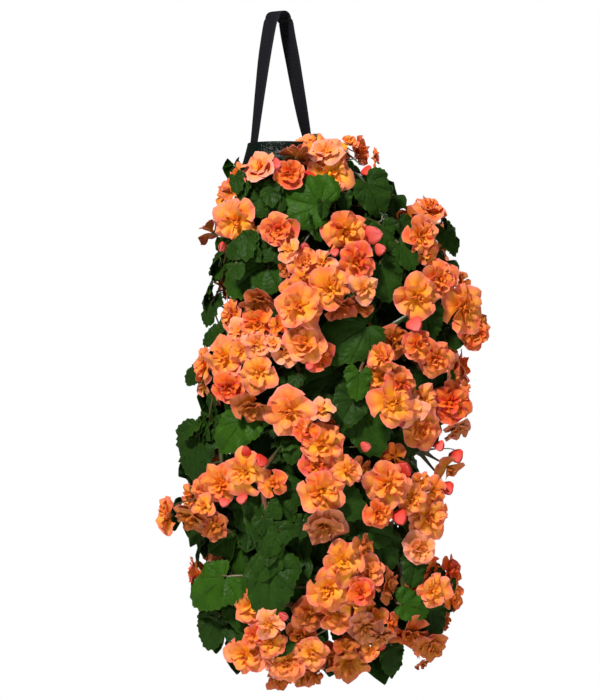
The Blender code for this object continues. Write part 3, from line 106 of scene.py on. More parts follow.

# Sprays: right, height and width of each bloom in mm, and two letters for the way it faces and its tone.
# Facing: f front, l left, r right, u up, d down, b away. Tones: y yellow, o orange, r red, p pale,
# s shaded, coloured redder and darker as painted shade. A bud has tone R for red or P for pink, and its
# length in place of a width.
SPRAYS = {
    "top_centre": (
        (70, -207, 46, "fy"), (50, -180, 30, "uy"), (66, -178, 34, "up"), (28, -182, 36, "bp"),
        (20, -208, 34, "fr"), (88, -184, 28, "rp"), (44, -213, 27, "dR"), (74, -234, 14, "dP")),
    "top_right": (
        (108, -175, 36, "ro"), (93, -166, 22, "uo"), (128, -184, 24, "ro"), (116, -202, 16, "dR")),
    "top_left": (
        (-25, -199, 40, "up"), (-46, -209, 30, "lo"), (-42, -228, 28, "fr"), (-64, -235, 33, "lo"),
        (-3, -196, 16, "rP")),
    "left_upper": (
        (-47, -268, 48, "fy"), (-79, -275, 33, "bp"), (-28, -273, 17, "rP"), (-64, -298, 14, "dP")),
    "right_single": (
        (90, -281, 50, "fo"), (102, -318, 42, "fr"), (75, -306, 14, "dP"), (122, -284, 26, "rP"),
        (131, -302, 18, "rP")),
    "centre_upper": (
        (6, -279, 42, "fr"), (38, -318, 38, "fo"), (60, -320, 30, "fp"), (18, -303, 28, "lp"),
        (37, -338, 28, "fo"), (27, -353, 30, "fy"), (15, -326, 24, "ls"), (38, -300, 14, "uP"),
        (57, -335, 14, "dR")),
    "centre_inner": (
        (70, -350, 42, "fy"), (112, -350, 33, "fp"), (32, -372, 50, "fo"), (82, -374, 36, "dr"),
        (108, -370, 28, "fs")),
    "left_middle_top": (
        (-53, -382, 38, "lo"), (-19, -366, 40, "do"), (-20, -393, 36, "fr"), (5, -397, 22, "fr"),
        (-44, -403, 28, "fp"), (-60, -409, 28, "ls")),
    "left_middle": (
        (-60, -436, 44, "fo"), (-88, -445, 36, "lo"), (-40, -428, 28, "fy"), (-21, -420, 34, "fp"),
        (-10, -436, 20, "rs")),
    "left_middle_low": (
        (-20, -453, 40, "fy"), (-55, -473, 38, "fr"), (-90, -471, 22, "lp"), (-74, -480, 28, "ls"),
        (-27, -497, 42, "do")),
    "centre_middle": (
        (38, -418, 44, "fo"), (17, -428, 32, "fp"), (59, -434, 33, "rr"), (0, -416, 22, "up"),
        (44, -445, 15, "dP")),
    "right_top": (
        (195, -248, 39, "uo"), (184, -284, 40, "fo"), (168, -261, 28, "ls"), (213, -296, 33, "ry"),
        (192, -308, 24, "fo"), (210, -317, 28, "rp")),
    "right_upper": (
        (178, -360, 48, "fy"), (208, -338, 40, "fr"), (238, -343, 33, "ro"), (174, -394, 26, "dP")),
    "right_edge_top": (
        (239, -374, 50, "fy"), (252, -404, 40, "fr"), (263, -389, 20, "rp"), (217, -425, 36, "rs")),
    "right_middle": (
        (178, -420, 36, "fr"), (200, -437, 40, "fo"), (150, -413, 34, "fs"), (132, -434, 34, "lo")),
    "right_middle_low": (
        (134, -459, 42, "fy"), (156, -468, 34, "fr"), (147, -492, 46, "fy"), (170, -500, 34, "fp"),
        (183, -489, 36, "fo"), (157, -515, 15, "dP")),
    "right_edge": (
        (226, -459, 42, "rp"), (220, -492, 46, "fr"), (228, -526, 34, "dp"), (241, -474, 22, "ro")),
    "right_lower": (
        (183, -525, 46, "fo"), (219, -575, 33, "do"), (228, -558, 22, "dR"), (216, -598, 22, "dR"),
        (206, -545, 17, "dP")),
    "right_cluster": (
        (141, -592, 48, "fy"), (148, -559, 30, "ls"), (130, -627, 34, "fr"), (171, -611, 34, "fo"),
        (161, -573, 24, "uR"), (159, -588, 20, "dP"), (156, -632, 26, "dR")),
    "right_cluster_low": (
        (193, -634, 44, "fo"), (198, -602, 33, "fr"), (183, -590, 26, "fo"), (211, -629, 30, "rr")),
    "centre_lower": (
        (20, -501, 48, "fo"), (60, -541, 44, "fy"), (40, -525, 28, "fr"), (58, -499, 28, "up"),
        (71, -516, 20, "fs")),
    "centre_lower_tail": (
        (54, -566, 38, "fr"), (89, -574, 34, "fy"), (59, -600, 46, "fo"), (110, -573, 28, "rs"),
        (73, -581, 20, "dP"), (113, -545, 17, "rP")),
    "low_centre": (
        (62, -645, 46, "dp"), (85, -687, 44, "fy"), (118, -700, 38, "fo"), (112, -671, 33, "rs")),
    "low_centre_heart": (
        (67, -723, 50, "fy"), (78, -752, 42, "fo"), (107, -724, 36, "fr"), (142, -718, 36, "rs"),
        (98, -740, 28, "fy")),
    "low_centre_tail": (
        (113, -772, 38, "dp"), (121, -756, 32, "fo"), (147, -765, 28, "rr"), (134, -782, 28, "dp"),
        (121, -797, 30, "fo"), (94, -815, 44, "dy"), (90, -793, 28, "us"), (70, -808, 30, "fs"),
        (134, -795, 12, "rR")),
    "bottom_left": (
        (-27, -743, 42, "fy"), (-48, -769, 42, "ly"), (-6, -766, 32, "fp"), (-25, -781, 26, "fr"),
        (-4, -789, 34, "fy"), (12, -755, 16, "rP")),
    "bottom_left_tail": (
        (-36, -806, 42, "fy"), (15, -815, 42, "fo"), (-10, -811, 26, "lp"), (5, -840, 28, "ds"),
        (33, -834, 33, "ds"), (51, -828, 28, "rs")),
    "bottom_centre": (
        (45, -752, 38, "fs"), (34, -782, 34, "fs"), (46, -801, 36, "fy")),
    "left_lower": (
        (-35, -577, 46, "fy"), (-75, -550, 42, "ly"), (-67, -592, 40, "fo"), (-7, -590, 30, "fr"),
        (-34, -551, 16, "uR"), (-15, -562, 22, "dR"), (-39, -610, 16, "dP"), (-61, -614, 16, "dP")),
    "left_lower_tail": (
        (-85, -600, 34, "fo"), (-104, -635, 42, "dy"), (-104, -609, 34, "lo"), (-136, -633, 38, "lo"),
        (-75, -645, 34, "fs"), (-87, -619, 24, "fo")),
    "right_bottom": (
        (182, -674, 38, "fp"), (201, -703, 33, "rr"), (223, -707, 36, "rr"), (199, -726, 36, "fy"),
        (172, -719, 27, "dR")),
    "right_bottom_tail": (
        (226, -738, 34, "rr"), (217, -767, 22, "rs"), (169, -782, 44, "ds"), (198, -799, 40, "do"),
        (187, -823, 20, "ds")),
}
# Blooms over the stem that leaves the mouth: its root, its middle and the way it faces, in the frame's mm,
# its width and tone
EXTRA_BLOOMS = {
    "spray_top_centre": (((48, -43, -161), (44, -59, -169), (-0.1, -0.85, 0.45), 27, "y"),
                         ((31, -25, -160), (31, -40, -165), (-0.35, -0.6, 0.7), 19, "p")),
}
# The back repeats some sprays and leaves of the front, mirrored within the outline
BACK_SPRAYS = ("right_single", "left_upper", "centre_inner", "right_upper", "left_middle", "centre_middle",
               "centre_lower", "right_bottom", "low_centre_heart")
BACK_LEAVES = (0, 1, 2, 4, 5, 7, 8, 10, 11, 12, 14, 16, 26, 36, 42)

FACING = {"f": (0, -1, 0), "l": (-1, -0.3, 0), "r": (1, -0.3, 0), "u": (0, -0.4, 1.1),
          "d": (0, -0.5, -1.1), "b": (0, 1.5, 1.8)}
BLOOM_OUT = 0.8           # how much a bloom also faces out of the plant, and at random
BLOOM_TURN = 0.28
SHADED_SHARE = 0.86       # share of the outline that a shaded bloom stands at
SIDEWAYS = 0.45           # a bloom that faces sideways and sits this far round moves in to this share of
SIDE_SHARE = 0.25         # its depth
BLOOM_CROWN = 0.10        # height of a bloom's middle point in the frame, as a share of its width
BUD_TIP = 0.62            # height of a bud's tip in the frame, as a share of its length
BLOOM_SEARCH = (4 * MM, 56 * MM)      # steps and range in depth in which a bloom is looked for
WIDER_SEARCH = (6 * MM, 42 * MM)      # and further ones, with shifts right and up in mm, if it isn't there
WIDER_SHIFTS = ((0, 0), (6, 0), (-6, 0), (0, 6), (0, -6))

# A blade's outline in the frame, from one side of its notch round the tip to the other, as shares of its
# length along the rib and across. The lobe on the second side is the larger, as on a begonia.
BLADE = ((0.02, 0.04), (-0.17, 0.20), (0.02, 0.36), (0.20, 0.47), (0.32, 0.33), (0.48, 0.36),
         (0.83, 0.0), (0.56, -0.26), (0.42, -0.44), (0.28, -0.37), (0.06, -0.56), (-0.20, -0.38),
         (-0.17, -0.16), (0.02, -0.04))
SMALL_BLADE = ((0.02, 0.05), (-0.15, 0.22), (0.12, 0.44), (0.24, 0.32), (0.50, 0.34), (0.83, 0.0),
               (0.50, -0.36), (0.27, -0.34), (0.08, -0.52), (-0.18, -0.24), (0.02, -0.05))
RIB = (0.22, 0.50)
SMALL_BLADE_UNDER = 50.0 * MM
BLADE_TIP = (0.83, 0.0)
NOTCH = 0.02              # where a blade's veins spread from, as a share of its length


def between(rows, height):
    """Reads a profile at a height, by straight lines between its rows."""
    if height >= rows[0][0]:
        return rows[0][1:]
    for above, below in zip(rows, rows[1:]):
        if height >= below[0]:
            part = (above[0] - height) / (above[0] - below[0])
            return tuple(a + (b - a) * part for a, b in zip(above[1:], below[1:]))
    return rows[-1][1:]


def outline_place(x, height, share, side):
    """A point at a share of the plant's reach in front or at the back, and the way out from it."""
    left, right, reach = between(HABIT, height / MM)
    edge = (right if x / MM > RIDGE else left) - RIDGE
    across = min(abs((x / MM - RIDGE) / edge), 1.0)
    depth = math.sqrt(1.0 - across * across)
    out = Vector((across / edge, side * depth / reach, 0.0)).normalized()
    return Vector((x, side * share * reach * MM * depth, height)), out


def outline_share(point):
    """How far out of the planted outline's middle a point lies: 1 is on the outline."""
    left, right, reach = between(HABIT, point.z / MM)
    edge = (right if point.x / MM > RIDGE else left) - RIDGE
    return math.hypot((point.x / MM - RIDGE) / edge, point.y / MM / reach)


def drawn(*key):
    """A random source of a piece's own, so that no piece depends on another's draws."""
    return random.Random("-".join(str(part) for part in key))


def jitter(rng, amount):
    return Vector([rng.uniform(-amount, amount) for _ in range(3)])


def steps(size, most):
    """0, then growing steps either way."""
    yield 0.0
    for k in range(1, int(most / size) + 1):
        yield -k * size
        yield k * size


def mirrored_x(x, height):
    left, right, _ = between(HABIT, height)
    return left + right - (x - READING_ZERO) + READING_ZERO


def mirrored(row):
    x, z, width, (facing, tone) = row
    return mirrored_x(x, z), z, width, {"l": "r", "r": "l"}.get(facing, facing) + tone


def mirrored_leaf(row):
    x, z, length, angle, tone = row
    return mirrored_x(x, z), z, length, 180 - angle, tone


def tree_of(places):
    tree = KDTree(len(places))
    for number, place in enumerate(places):
        tree.insert(place, number)
    tree.balance()
    return tree


class FramePoints:
    """The points of the frame's nodes of one kind, for looking up which node holds a point."""

    def __init__(self, prefix):
        rows = [(vertex.co, name) for name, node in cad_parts.items() if name.startswith(prefix)
                for vertex in node.data.vertices]
        self.owners = [name for _, name in rows]
        self.tree = tree_of([place for place, _ in rows])

    def owner(self, point):
        _, number, distance = self.tree.find(point)
        return self.owners[number] if distance < FOUND else None


class Bloom:
    """One bloom or bud: where it is, where it faces, and the frame's node that holds it."""

    def __init__(self, spray, number, row, side):
        x, z, width, (facing, self.tone) = row
        self.width = width * MM
        self.side = side
        self.bud = self.tone in "RP"
        # Blooms of tone s and those facing down or away get painted shade: their petals darken towards
        # brown.
        self.shaded = self.tone == "s" or facing in "db"
        self.key = (spray, number)
        rng = drawn("bloom", spray, number)
        share = SHADED_SHARE if self.tone == "s" else 1.0
        self.place, out = outline_place((x - READING_ZERO) * MM, z * MM, share, side)
        if facing in "lr" and abs(out.x) > SIDEWAYS:
            self.place.y *= SIDE_SHARE
        look = Vector(FACING[facing])
        look.y *= -side
        self.axis = (out * BLOOM_OUT + look + jitter(rng, BLOOM_TURN)).normalized()
        self.spin = rng.uniform(0, 2 * math.pi)
        self.node = None

    def tip(self):
        """The frame's point that this bloom is known by."""
        return self.place + self.axis * self.width * (BUD_TIP if self.bud else BLOOM_CROWN)

    def find(self, points):
        """Moves to where the frame has this bloom."""
        near = [self.place + Vector((0, step, 0)) for step in steps(*BLOOM_SEARCH)]
        wider = (place + Vector((right * MM, step, up * MM)) for place in near for right, up in WIDER_SHIFTS
                 for step in steps(*WIDER_SEARCH))
        for self.place in chain(near, wider):
            self.node = points.owner(self.tip())
            if self.node:
                return True
        return False

    def frame(self):
        turn = self.axis.to_track_quat("Z", "Y").to_matrix().to_4x4()
        return Matrix.Translation(self.place) @ turn @ Matrix.Rotation(self.spin, 4, "Z")


class ExtraBloom(Bloom):
    """A bloom that the frame doesn't have, on a short stalk from a stem of the frame."""

    def __init__(self, spray, number, root, place, axis, width, tone):
        self.key = ("extra_" + spray, number)
        self.root = Vector(root) * MM
        self.place = Vector(place) * MM
        self.axis = Vector(axis).normalized()
        self.width = width * MM
        self.tone = tone
        self.side = FRONT
        self.bud = self.shaded = False
        self.spin = drawn("bloom", *self.key).uniform(0, 2 * math.pi)


class Leaf:
    """One leaf: where its blade is, how it lies, and the frame's node that holds it."""

    def __init__(self, number, row, side):
        x, z, length, angle, self.tone = row
        self.length = length * MM
        self.key = (number, side)
        self.side = side
        rng = drawn("leaf", number, side)
        self.place, out = outline_place((x - READING_ZERO) * MM, z * MM, LEAF_DEPTH[self.tone], side)
        face = out * LEAF_OUT + Vector((0, LEAF_FORWARD * side, LEAF_UP))
        self.normal = (face + jitter(rng, LEAF_TURN)).normalized()
        turn = math.radians(angle)
        self.lie(rng, Vector((math.cos(turn), 0, math.sin(turn))), LEAF_FOLD, LEAF_DROOP)
        self.node = None

    def lie(self, rng, tip, fold, droop):
        """Points the blade along its tip's way, with a fold and droop drawn from their ranges."""
        self.along = (tip - self.normal * tip.dot(self.normal)).normalized()
        self.hand = rng.choice((-1, 1))
        self.fold = rng.uniform(*fold)
        self.droop = rng.uniform(*droop)

    def find(self, points):
        """Moves to where the frame has this leaf."""
        start = self.place.copy()
        for step in steps(*LEAF_SEARCH):
            self.place = start + Vector((0, step * -self.side, 0))
            self.node = points.owner(self.surface(*BLADE_TIP) + self.normal * LEAF_THICK / 2)
            if self.node:
                return True
        return False

    def base(self):
        return self.place - self.along * self.length * LEAF_BACK

    def small(self):
        return self.length < SMALL_BLADE_UNDER or self.tone == "f"

    def surface(self, u, v):
        """A point of the frame's blade, midway in its thickness."""
        return Vector(self.surfaces(np.array([u]), np.array([v]), 0.0)[0])

    def surfaces(self, u, v, extra):
        """Points of the blade from arrays of shares of its length along and across, raised by extra."""
        across = self.normal.cross(self.along) * self.hand
        lift = self.fold * np.abs(v) - self.droop * np.maximum(u, 0.0) ** 2 - LEAF_CUP * v * v
        wave = LEAF_WAVE * np.sin(21 * u + 9 * v) * np.minimum(1.0, 3 * np.abs(v))
        up = (lift + wave + extra) * self.length
        return (np.array(self.base()) + u[..., None] * np.array(self.along) * self.length
                + v[..., None] * np.array(across) * self.length * LEAF_WIDTH
                + up[..., None] * np.array(self.normal))

    def frame_blade(self):
        """The frame's points of this blade, apart from the four that its stalk ends in."""
        outline = (SMALL_BLADE if self.small() else BLADE)[1:-1]
        rib = [(u, 0.0) for u in (RIB[:1] if self.small() else RIB)]
        half = self.normal * LEAF_THICK / 2
        middle = [self.surface(u, v) for u, v in (*outline, *rib)]
        return [point + half for point in middle] + [point - half for point in middle]


# Meshes
def new_object(name, data):
    made = bpy.data.objects.new(name, data)
    bpy.context.scene.collection.objects.link(made)
    return made


def mesh_from(work, name):
    """The mesh that a bmesh holds, which is freed."""
    mesh = bpy.data.meshes.new(name)
    work.to_mesh(mesh)
    work.free()
    return mesh


def with_modifiers(holder):
    """The mesh of an object with its modifiers applied."""
    graph = bpy.context.evaluated_depsgraph_get()
    return bpy.data.meshes.new_from_object(holder.evaluated_get(graph))


def threes(*columns):
    """Three numbers a point, from arrays and plain numbers."""
    return np.stack(np.broadcast_arrays(*columns), axis=-1).reshape(-1, 3)


class Skin:
    """Quads gathered for one piece. look and flow hold three numbers a point, which the materials read."""

    def __init__(self):
        self.points, self.quads, self.looks, self.flows, self.slots = [], [], [], [], []
        self.count = 0

    def add(self, points, quads, look, flow, slot=0):
        points = np.asarray(points, float).reshape(-1, 3)
        size = len(points)
        self.points.append(points)
        self.quads.append(np.asarray(quads, int) + self.count)
        self.looks.append(np.broadcast_to(look, (size, 3)))
        self.flows.append(np.broadcast_to(flow, (size, 3)))
        self.slots.append(np.full(len(quads), slot))
        self.count += size

    def add_tube(self, grid, look, flow, slot=0, turned=False):
        """A closed tube through rings of an even number of points. turned turns its sides over."""
        rows, sides = grid.shape[:2]
        quads = grid_quads(rows, sides, closed=True)
        self.add(grid, quads[:, ::-1] if turned else quads, look, flow, slot)
        first = self.count - rows * sides
        for ring, flip in ((first, False), (self.count - sides, True)):
            for k in range(sides // 2 - 1):
                quad = np.array([ring + k, ring + k + 1, ring + sides - 2 - k, ring + sides - 1 - k])
                self.quads.append(quad[None, ::-1] if flip else quad[None, :])
                self.slots.append(np.full(1, slot))

    def piece(self, name, nodes, slot, materials, sharp=50.0):
        """Makes the piece that stands for some nodes. Edges over sharp degrees stay sharp."""
        points = np.concatenate(self.points)
        quads = np.concatenate(self.quads)
        mesh = bpy.data.meshes.new(name)
        mesh.vertices.add(len(points))
        mesh.vertices.foreach_set("co", points.ravel())
        mesh.loops.add(quads.size)
        mesh.loops.foreach_set("vertex_index", quads.ravel())
        mesh.polygons.add(len(quads))
        mesh.polygons.foreach_set("loop_start", np.arange(len(quads)) * 4)
        mesh.polygons.foreach_set("material_index", np.concatenate(self.slots))
        for key, rows in (("look", self.looks), ("flow", self.flows)):
            attribute = mesh.attributes.new(key, "FLOAT_VECTOR", "POINT")
            attribute.data.foreach_set("vector", np.concatenate(rows).ravel())
        mesh.update(calc_edges=True)
        mesh.validate()
        mesh.shade_smooth()
        mesh.set_sharp_from_angle(angle=math.radians(sharp))
        for material in materials:
            mesh.materials.append(material)
        made = new_object(name, mesh)
        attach(made, "root")
        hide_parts(*nodes)
        return made


def grid_quads(rows, columns, closed=False):
    """Quads between the rows of a grid of points, joined round where it is closed."""
    down = np.arange(rows - 1)[:, None] * columns
    across = np.arange(columns if closed else columns - 1)[None, :]
    following = (across + 1) % columns
    return np.stack([down + across, down + columns + across, down + columns + following, down + following],
                    axis=-1).reshape(-1, 4)


def unit(vectors):
    return vectors / np.maximum(np.linalg.norm(vectors, axis=-1, keepdims=True), 1e-9)


def slab(grid, thick):
    """A thin closed sheet over a grid of points: its points, the top ones first, and its quads."""
    rows, columns = grid.shape[:2]
    normal = unit(np.cross(np.gradient(grid, axis=0), np.gradient(grid, axis=1)))
    half = normal * np.asarray(thick)[..., None] / 2
    top = grid_quads(rows, columns)
    size = rows * columns
    number = np.arange(size).reshape(rows, columns)
    rims = []
    for line in (number[0], number[:, -1], number[-1, ::-1], number[::-1, 0]):
        rims.append(np.stack([line[:-1], line[1:], line[1:] + size, line[:-1] + size], axis=-1))
    quads = np.concatenate([top, top[:, ::-1] + size, *rims])
    return np.concatenate([(grid + half).reshape(-1, 3), (grid - half).reshape(-1, 3)]), quads


def moved(points, matrix):
    turn = np.array(matrix.to_3x3())
    return points @ turn.T + np.array(matrix.translation)


def smooth_step(low, high, value):
    part = np.clip((value - low) / (high - low), 0.0, 1.0)
    return part * part * (3 - 2 * part)


# Blooms
# Petal rings of each kind of bloom, from the outside in: number of petals, length as a share of the
# bloom's radius, half angle in degrees, rise at the base and at the rim in degrees, ruffle as a share of
# the radius, how near its heart the ring is, and its rows and columns of faces
OPEN_RINGS = ((5, 1.14, 50, 36, -14, 0.110, 0.10, 6, 9), (4, 0.98, 56, 58, 12, 0.115, 0.40, 6, 8),
              (3, 0.80, 64, 74, 48, 0.085, 0.80, 5, 6), (2, 0.58, 80, 88, 80, 0.060, 1.00, 4, 5))
ROSE_RINGS = ((5, 1.10, 52, 42, -2, 0.095, 0.10, 6, 8), (4, 0.94, 60, 64, 30, 0.085, 0.35, 6, 7),
              (3, 0.80, 70, 78, 60, 0.065, 0.60, 5, 6), (2, 0.62, 88, 92, 88, 0.050, 0.90, 4, 6))
STAR_RINGS = ((4, 1.20, 54, 42, -20, 0.125, 0.10, 7, 9), (4, 0.94, 52, 60, 14, 0.120, 0.45, 6, 8),
              (3, 0.68, 64, 80, 58, 0.080, 0.90, 4, 6))
# Each tone's ring sets, warmth from yellow to red, and paleness. The shaded tone s is redder as painted
# shade.
TONES = {"y": ((OPEN_RINGS, STAR_RINGS), 0.02, 0.12), "r": ((ROSE_RINGS, OPEN_RINGS), 0.66, 0.04),
         "o": ((OPEN_RINGS, STAR_RINGS, ROSE_RINGS), 0.24, 0.14),
         "p": ((STAR_RINGS, OPEN_RINGS), 0.22, 0.95), "s": ((STAR_RINGS, OPEN_RINGS), 0.60, 0.15)}
WARMER = (-0.14, 0.24)    # what a bloom's warmth and paleness, and a petal's warmth, differ by
PALER = (-0.08, 0.20)
PETAL_WARMER = (-0.22, 0.22)
HEART_WARMER = -0.10      # what the ring nearest the heart differs by
# Painted shade: the bottom of each ruffle's fold is coloured redder than its crest.
FOLD_PAINTED_SHADE = 1.15          # how much redder the bottom of a fold is than its crest
SMALL_BLOOM = 34.0 * MM   # under this width a bloom has fewer petals
LARGE_BLOOM = 43.0 * MM   # and under this width its petals have fewer faces
FULLER = 1.10             # the petals reach this much further than the frame's blooms
RECEPTACLE = -0.34        # height of the petals' roots and their way from the axis, as shares of the radius
ROOTS_OUT = 0.05
STALK_END = -0.23         # where an extra bloom's stalk ends under it, as a share of its width
PETAL_THICK = 0.5 * MM
# Ranges that each petal draws from: its share of its ring's length and half angle, its number of ruffles,
# degrees added to its rise at the base and at the rim, its twist and curl in radians, and its middle crease
PETAL_LENGTH = (0.88, 1.12)
PETAL_HALF = (0.85, 1.10)
PETAL_RUFFLES = (1.2, 2.6)
PETAL_BASE = (-8, 8)
PETAL_RIM = (-24, 24)
PETAL_TWIST = (-0.55, 0.55)
STRONG_CURL = (0.5, 1.5)
SLIGHT_CURL = (-0.4, 0.3)
PETAL_CREASE = (-0.10, 0.03)
STRONGLY_CURLED = 0.4     # share of the petals with one side strongly curled
# Height and radius of rings of the swelling under the petals, and of the closed petals in the middle
CALYX = ((-0.46, 0.03), (-0.43, 0.07), (-0.36, 0.10), (-0.28, 0.09), (-0.22, 0.02))
HEART = ((-0.30, 0.08), (-0.15, 0.12), (0.0, 0.11), (0.10, 0.06), (0.14, 0.02))
HEART_FLUTE = 0.22        # depth of its three flutes, as a share of its radius
HEART_TWIST = 3.0         # radians over a height of one radius of the bloom
KNOB_SIDES = 8


def petal(ring, radius, turn, rng, fewer):
    """Points, quads, shares along and across, side and fold depth of one petal of a bloom about +Z."""
    _, reach, spread, rise_in, rise_out, ruffle, _, rows, columns = ring
    rows, columns = rows + 1 - fewer, columns + 1 - fewer
    s = np.linspace(0, 1, rows)[:, None] ** 0.9 * np.ones((1, columns))
    t = np.linspace(-1, 1, columns)[None, :] * np.ones((rows, 1))
    phase = rng.uniform(0, 2 * math.pi)
    waves = rng.uniform(*PETAL_RUFFLES)
    pointed = rng.uniform(0.0, 1.0)
    rim = 1 - (0.14 + 0.14 * pointed) * np.abs(t) ** (3.4 - 1.5 * pointed) + 0.06 * np.sin(4.7 * t + phase)
    reach = reach * radius * rng.uniform(*PETAL_LENGTH)
    along = s * rim
    outward = smooth_step(0.30, 1.0, s)
    bend = math.radians(rise_in + rng.uniform(*PETAL_BASE)) * (1 - along ** 1.3)
    rise = bend + math.radians(rise_out + rng.uniform(*PETAL_RIM)) * along ** 1.3
    rise = rise + rng.uniform(*PETAL_TWIST) * t * outward
    side = rng.choice((-1, 1))
    curl = rng.uniform(*(STRONG_CURL if rng.random() < STRONGLY_CURLED else SLIGHT_CURL))
    rise = rise + curl * smooth_step(0.15, 1.0, side * t) * outward
    length = np.diff(along, axis=0, prepend=0.0)
    out = ROOTS_OUT * radius + reach * np.cumsum(length * np.cos(rise), axis=0)
    up = reach * np.cumsum(length * np.sin(rise), axis=0)
    half = math.radians(spread) * rng.uniform(*PETAL_HALF)
    angle = turn + half * t * (0.58 + 0.42 * s) + 0.10 * np.sin(3.1 * s + phase)
    frill = ruffle * radius * outward * (
        np.sin(waves * math.pi * t + phase) + 0.40 * np.sin(2.3 * waves * math.pi * t + 2 * phase))
    crease = rng.uniform(*PETAL_CREASE) * radius * np.exp(-(t / 0.20) ** 2) * smooth_step(0.10, 0.7, s)
    lift = frill + crease
    # How deep a point lies in its ruffle's fold, which the colour reddens as painted shade.
    fold = np.clip(0.5 - lift / (1.6 * ruffle * radius), 0.0, 1.0)
    out = out - np.sin(rise) * lift
    up = up + np.cos(rise) * lift
    grid = np.stack([out * np.cos(angle), out * np.sin(angle), up + RECEPTACLE * radius], axis=-1)
    points, quads = slab(grid, PETAL_THICK * (1.25 - 0.55 * s))
    under = np.repeat([0.0, 1.0], s.size)
    return points, quads, np.tile(s.ravel(), 2), np.tile(t.ravel(), 2), under, np.tile(fold.ravel(), 2)


def add_bloom(skin, bloom):
    rng = drawn("petals", *bloom.key)
    kinds, warm, pale = TONES[bloom.tone]
    rings = rng.choice(kinds)
    radius = bloom.width / 2 * FULLER
    small = bloom.width < SMALL_BLOOM
    fewer = int(bloom.width < LARGE_BLOOM) + int(small or bloom.side == BACK)
    matrix = bloom.frame()
    warm += rng.uniform(*WARMER)
    pale += rng.uniform(*PALER)
    # Painted shade: 1 darkens this bloom's petals towards brown.
    painted_shade = 1.0 if bloom.shaded else 0.0
    turn = 0.0
    for number, ring in enumerate(rings):
        if small and number == 1 and len(rings) > 3:
            continue
        count, heart = ring[0], ring[6]
        count -= int(small and count > 3)
        turn += math.pi / count * rng.uniform(0.6, 1.4)
        for k in range(count):
            place = turn + (k + rng.uniform(-0.18, 0.18)) * 2 * math.pi / count
            points, quads, s, t, under, fold = petal(ring, radius, place, rng, fewer)
            # Warmth of the bloom, the petal and the heart, with the bottoms of folds redder as painted
            # shade.
            heat = (warm + rng.uniform(*PETAL_WARMER) + HEART_WARMER * heart
                    + FOLD_PAINTED_SHADE * (fold - 0.5) * (1 - 0.4 * s))
            look = threes(s * (1.0 - 0.30 * heart), heat, pale)
            flow = threes(t, under, painted_shade + 0.5 * rng.random())
            skin.add(moved(points, matrix), quads, look, flow)
    add_knob(skin, matrix, radius, CALYX, GREY, 1)
    add_knob(skin, matrix, radius, HEART, (0.30, warm, 0.2), 0, HEART_FLUTE, HEART_TWIST)


def add_knob(skin, matrix, radius, profile, look, slot, flute=0.0, twist=0.0):
    """A closed round body about a bloom's axis, from a profile in shares of the bloom's radius."""
    rings = []
    for z, r in profile:
        turns = [2 * math.pi / KNOB_SIDES * k for k in range(KNOB_SIDES)]
        arms = [r * (1 + flute * math.sin(3 * a + 5 * z)) for a in turns]
        rings.append([(arm * math.cos(a + twist * z), arm * math.sin(a + twist * z), z)
                      for arm, a in zip(arms, turns)])
    grid = np.array(rings) * radius
    skin.add_tube(moved(grid.reshape(-1, 3), matrix).reshape(grid.shape), look, NONE, slot, True)


BUD_HEAT = 1.1            # over this warmth the material shows a closed bud
BUD_LOOKS = {"R": (0.30, 1.5, 0.0), "P": (0.55, 1.25, 0.30)}      # each tone's base, warmth and paleness
BUD_HALF_WIDTH = (0.34, 0.43)         # ranges as shares of its length
BUD_HALF_DEPTH = (0.15, 0.20)
BUD_TURN = 0.35           # how much a bud may turn from lying broadside
BUD_THICK = 0.7 * MM
BUD_ROWS = 9
BUD_SIDES = 8


def add_bud(skin, bloom):
    """A closed heart-shaped bud of two outer petals pressed together, about its axis."""
    rng = drawn("bud", *bloom.key)
    length = bloom.width
    broad = Vector((0, bloom.side, 0)).cross(bloom.axis) + jitter(rng, BUD_TURN)
    ahead = bloom.axis.cross(broad).normalized()
    turn = Matrix((ahead.cross(bloom.axis), ahead, bloom.axis)).transposed().to_4x4()
    matrix = Matrix.Translation(bloom.place) @ turn
    tone, heat, pale = BUD_LOOKS[bloom.tone]
    half_width = length * rng.uniform(*BUD_HALF_WIDTH)
    half_depth = length * rng.uniform(*BUD_HALF_DEPTH)
    s = np.linspace(0, 1, BUD_ROWS)[:, None]
    a = np.linspace(-1, 1, BUD_SIDES + 1)[None, :]
    body = np.sin(math.pi * s ** 0.66) ** 0.62 + 0.08 * (1 - s)
    groove = 1 - 0.62 * np.exp(-(a / 0.22) ** 2) * s
    for side in (-1, 1):
        x = half_width * body * np.sin(a * math.pi / 2) * (1 + 0.05 * side)
        y = side * (half_depth * body * np.cos(a * math.pi / 2) ** 0.8 * groove)
        y = y + side * (0.35 * MM + length * 0.06 * np.abs(a) ** 5 * s)
        z = length * (-0.40 + 1.02 * s ** 0.95) - 0.16 * length * (1 - np.abs(a)) ** 2 * s ** 3
        z = z - 0.14 * length * np.abs(a) ** 3 * s
        grid = np.stack(np.broadcast_arrays(x, y, z), axis=-1)
        points, quads = slab(grid[:, ::side], BUD_THICK)
        shares, across = (np.tile(np.broadcast_to(part, x.shape).ravel(), 2) for part in (s, a))
        look = threes(tone + 0.45 * shares, heat, pale)
        skin.add(moved(points, matrix), quads, look, threes(across, 1.0, rng.random() * 0.5))
    add_knob(skin, matrix @ Matrix.Translation((0, 0, -0.10 * length)), length * 0.7, CALYX, GREY, 1)


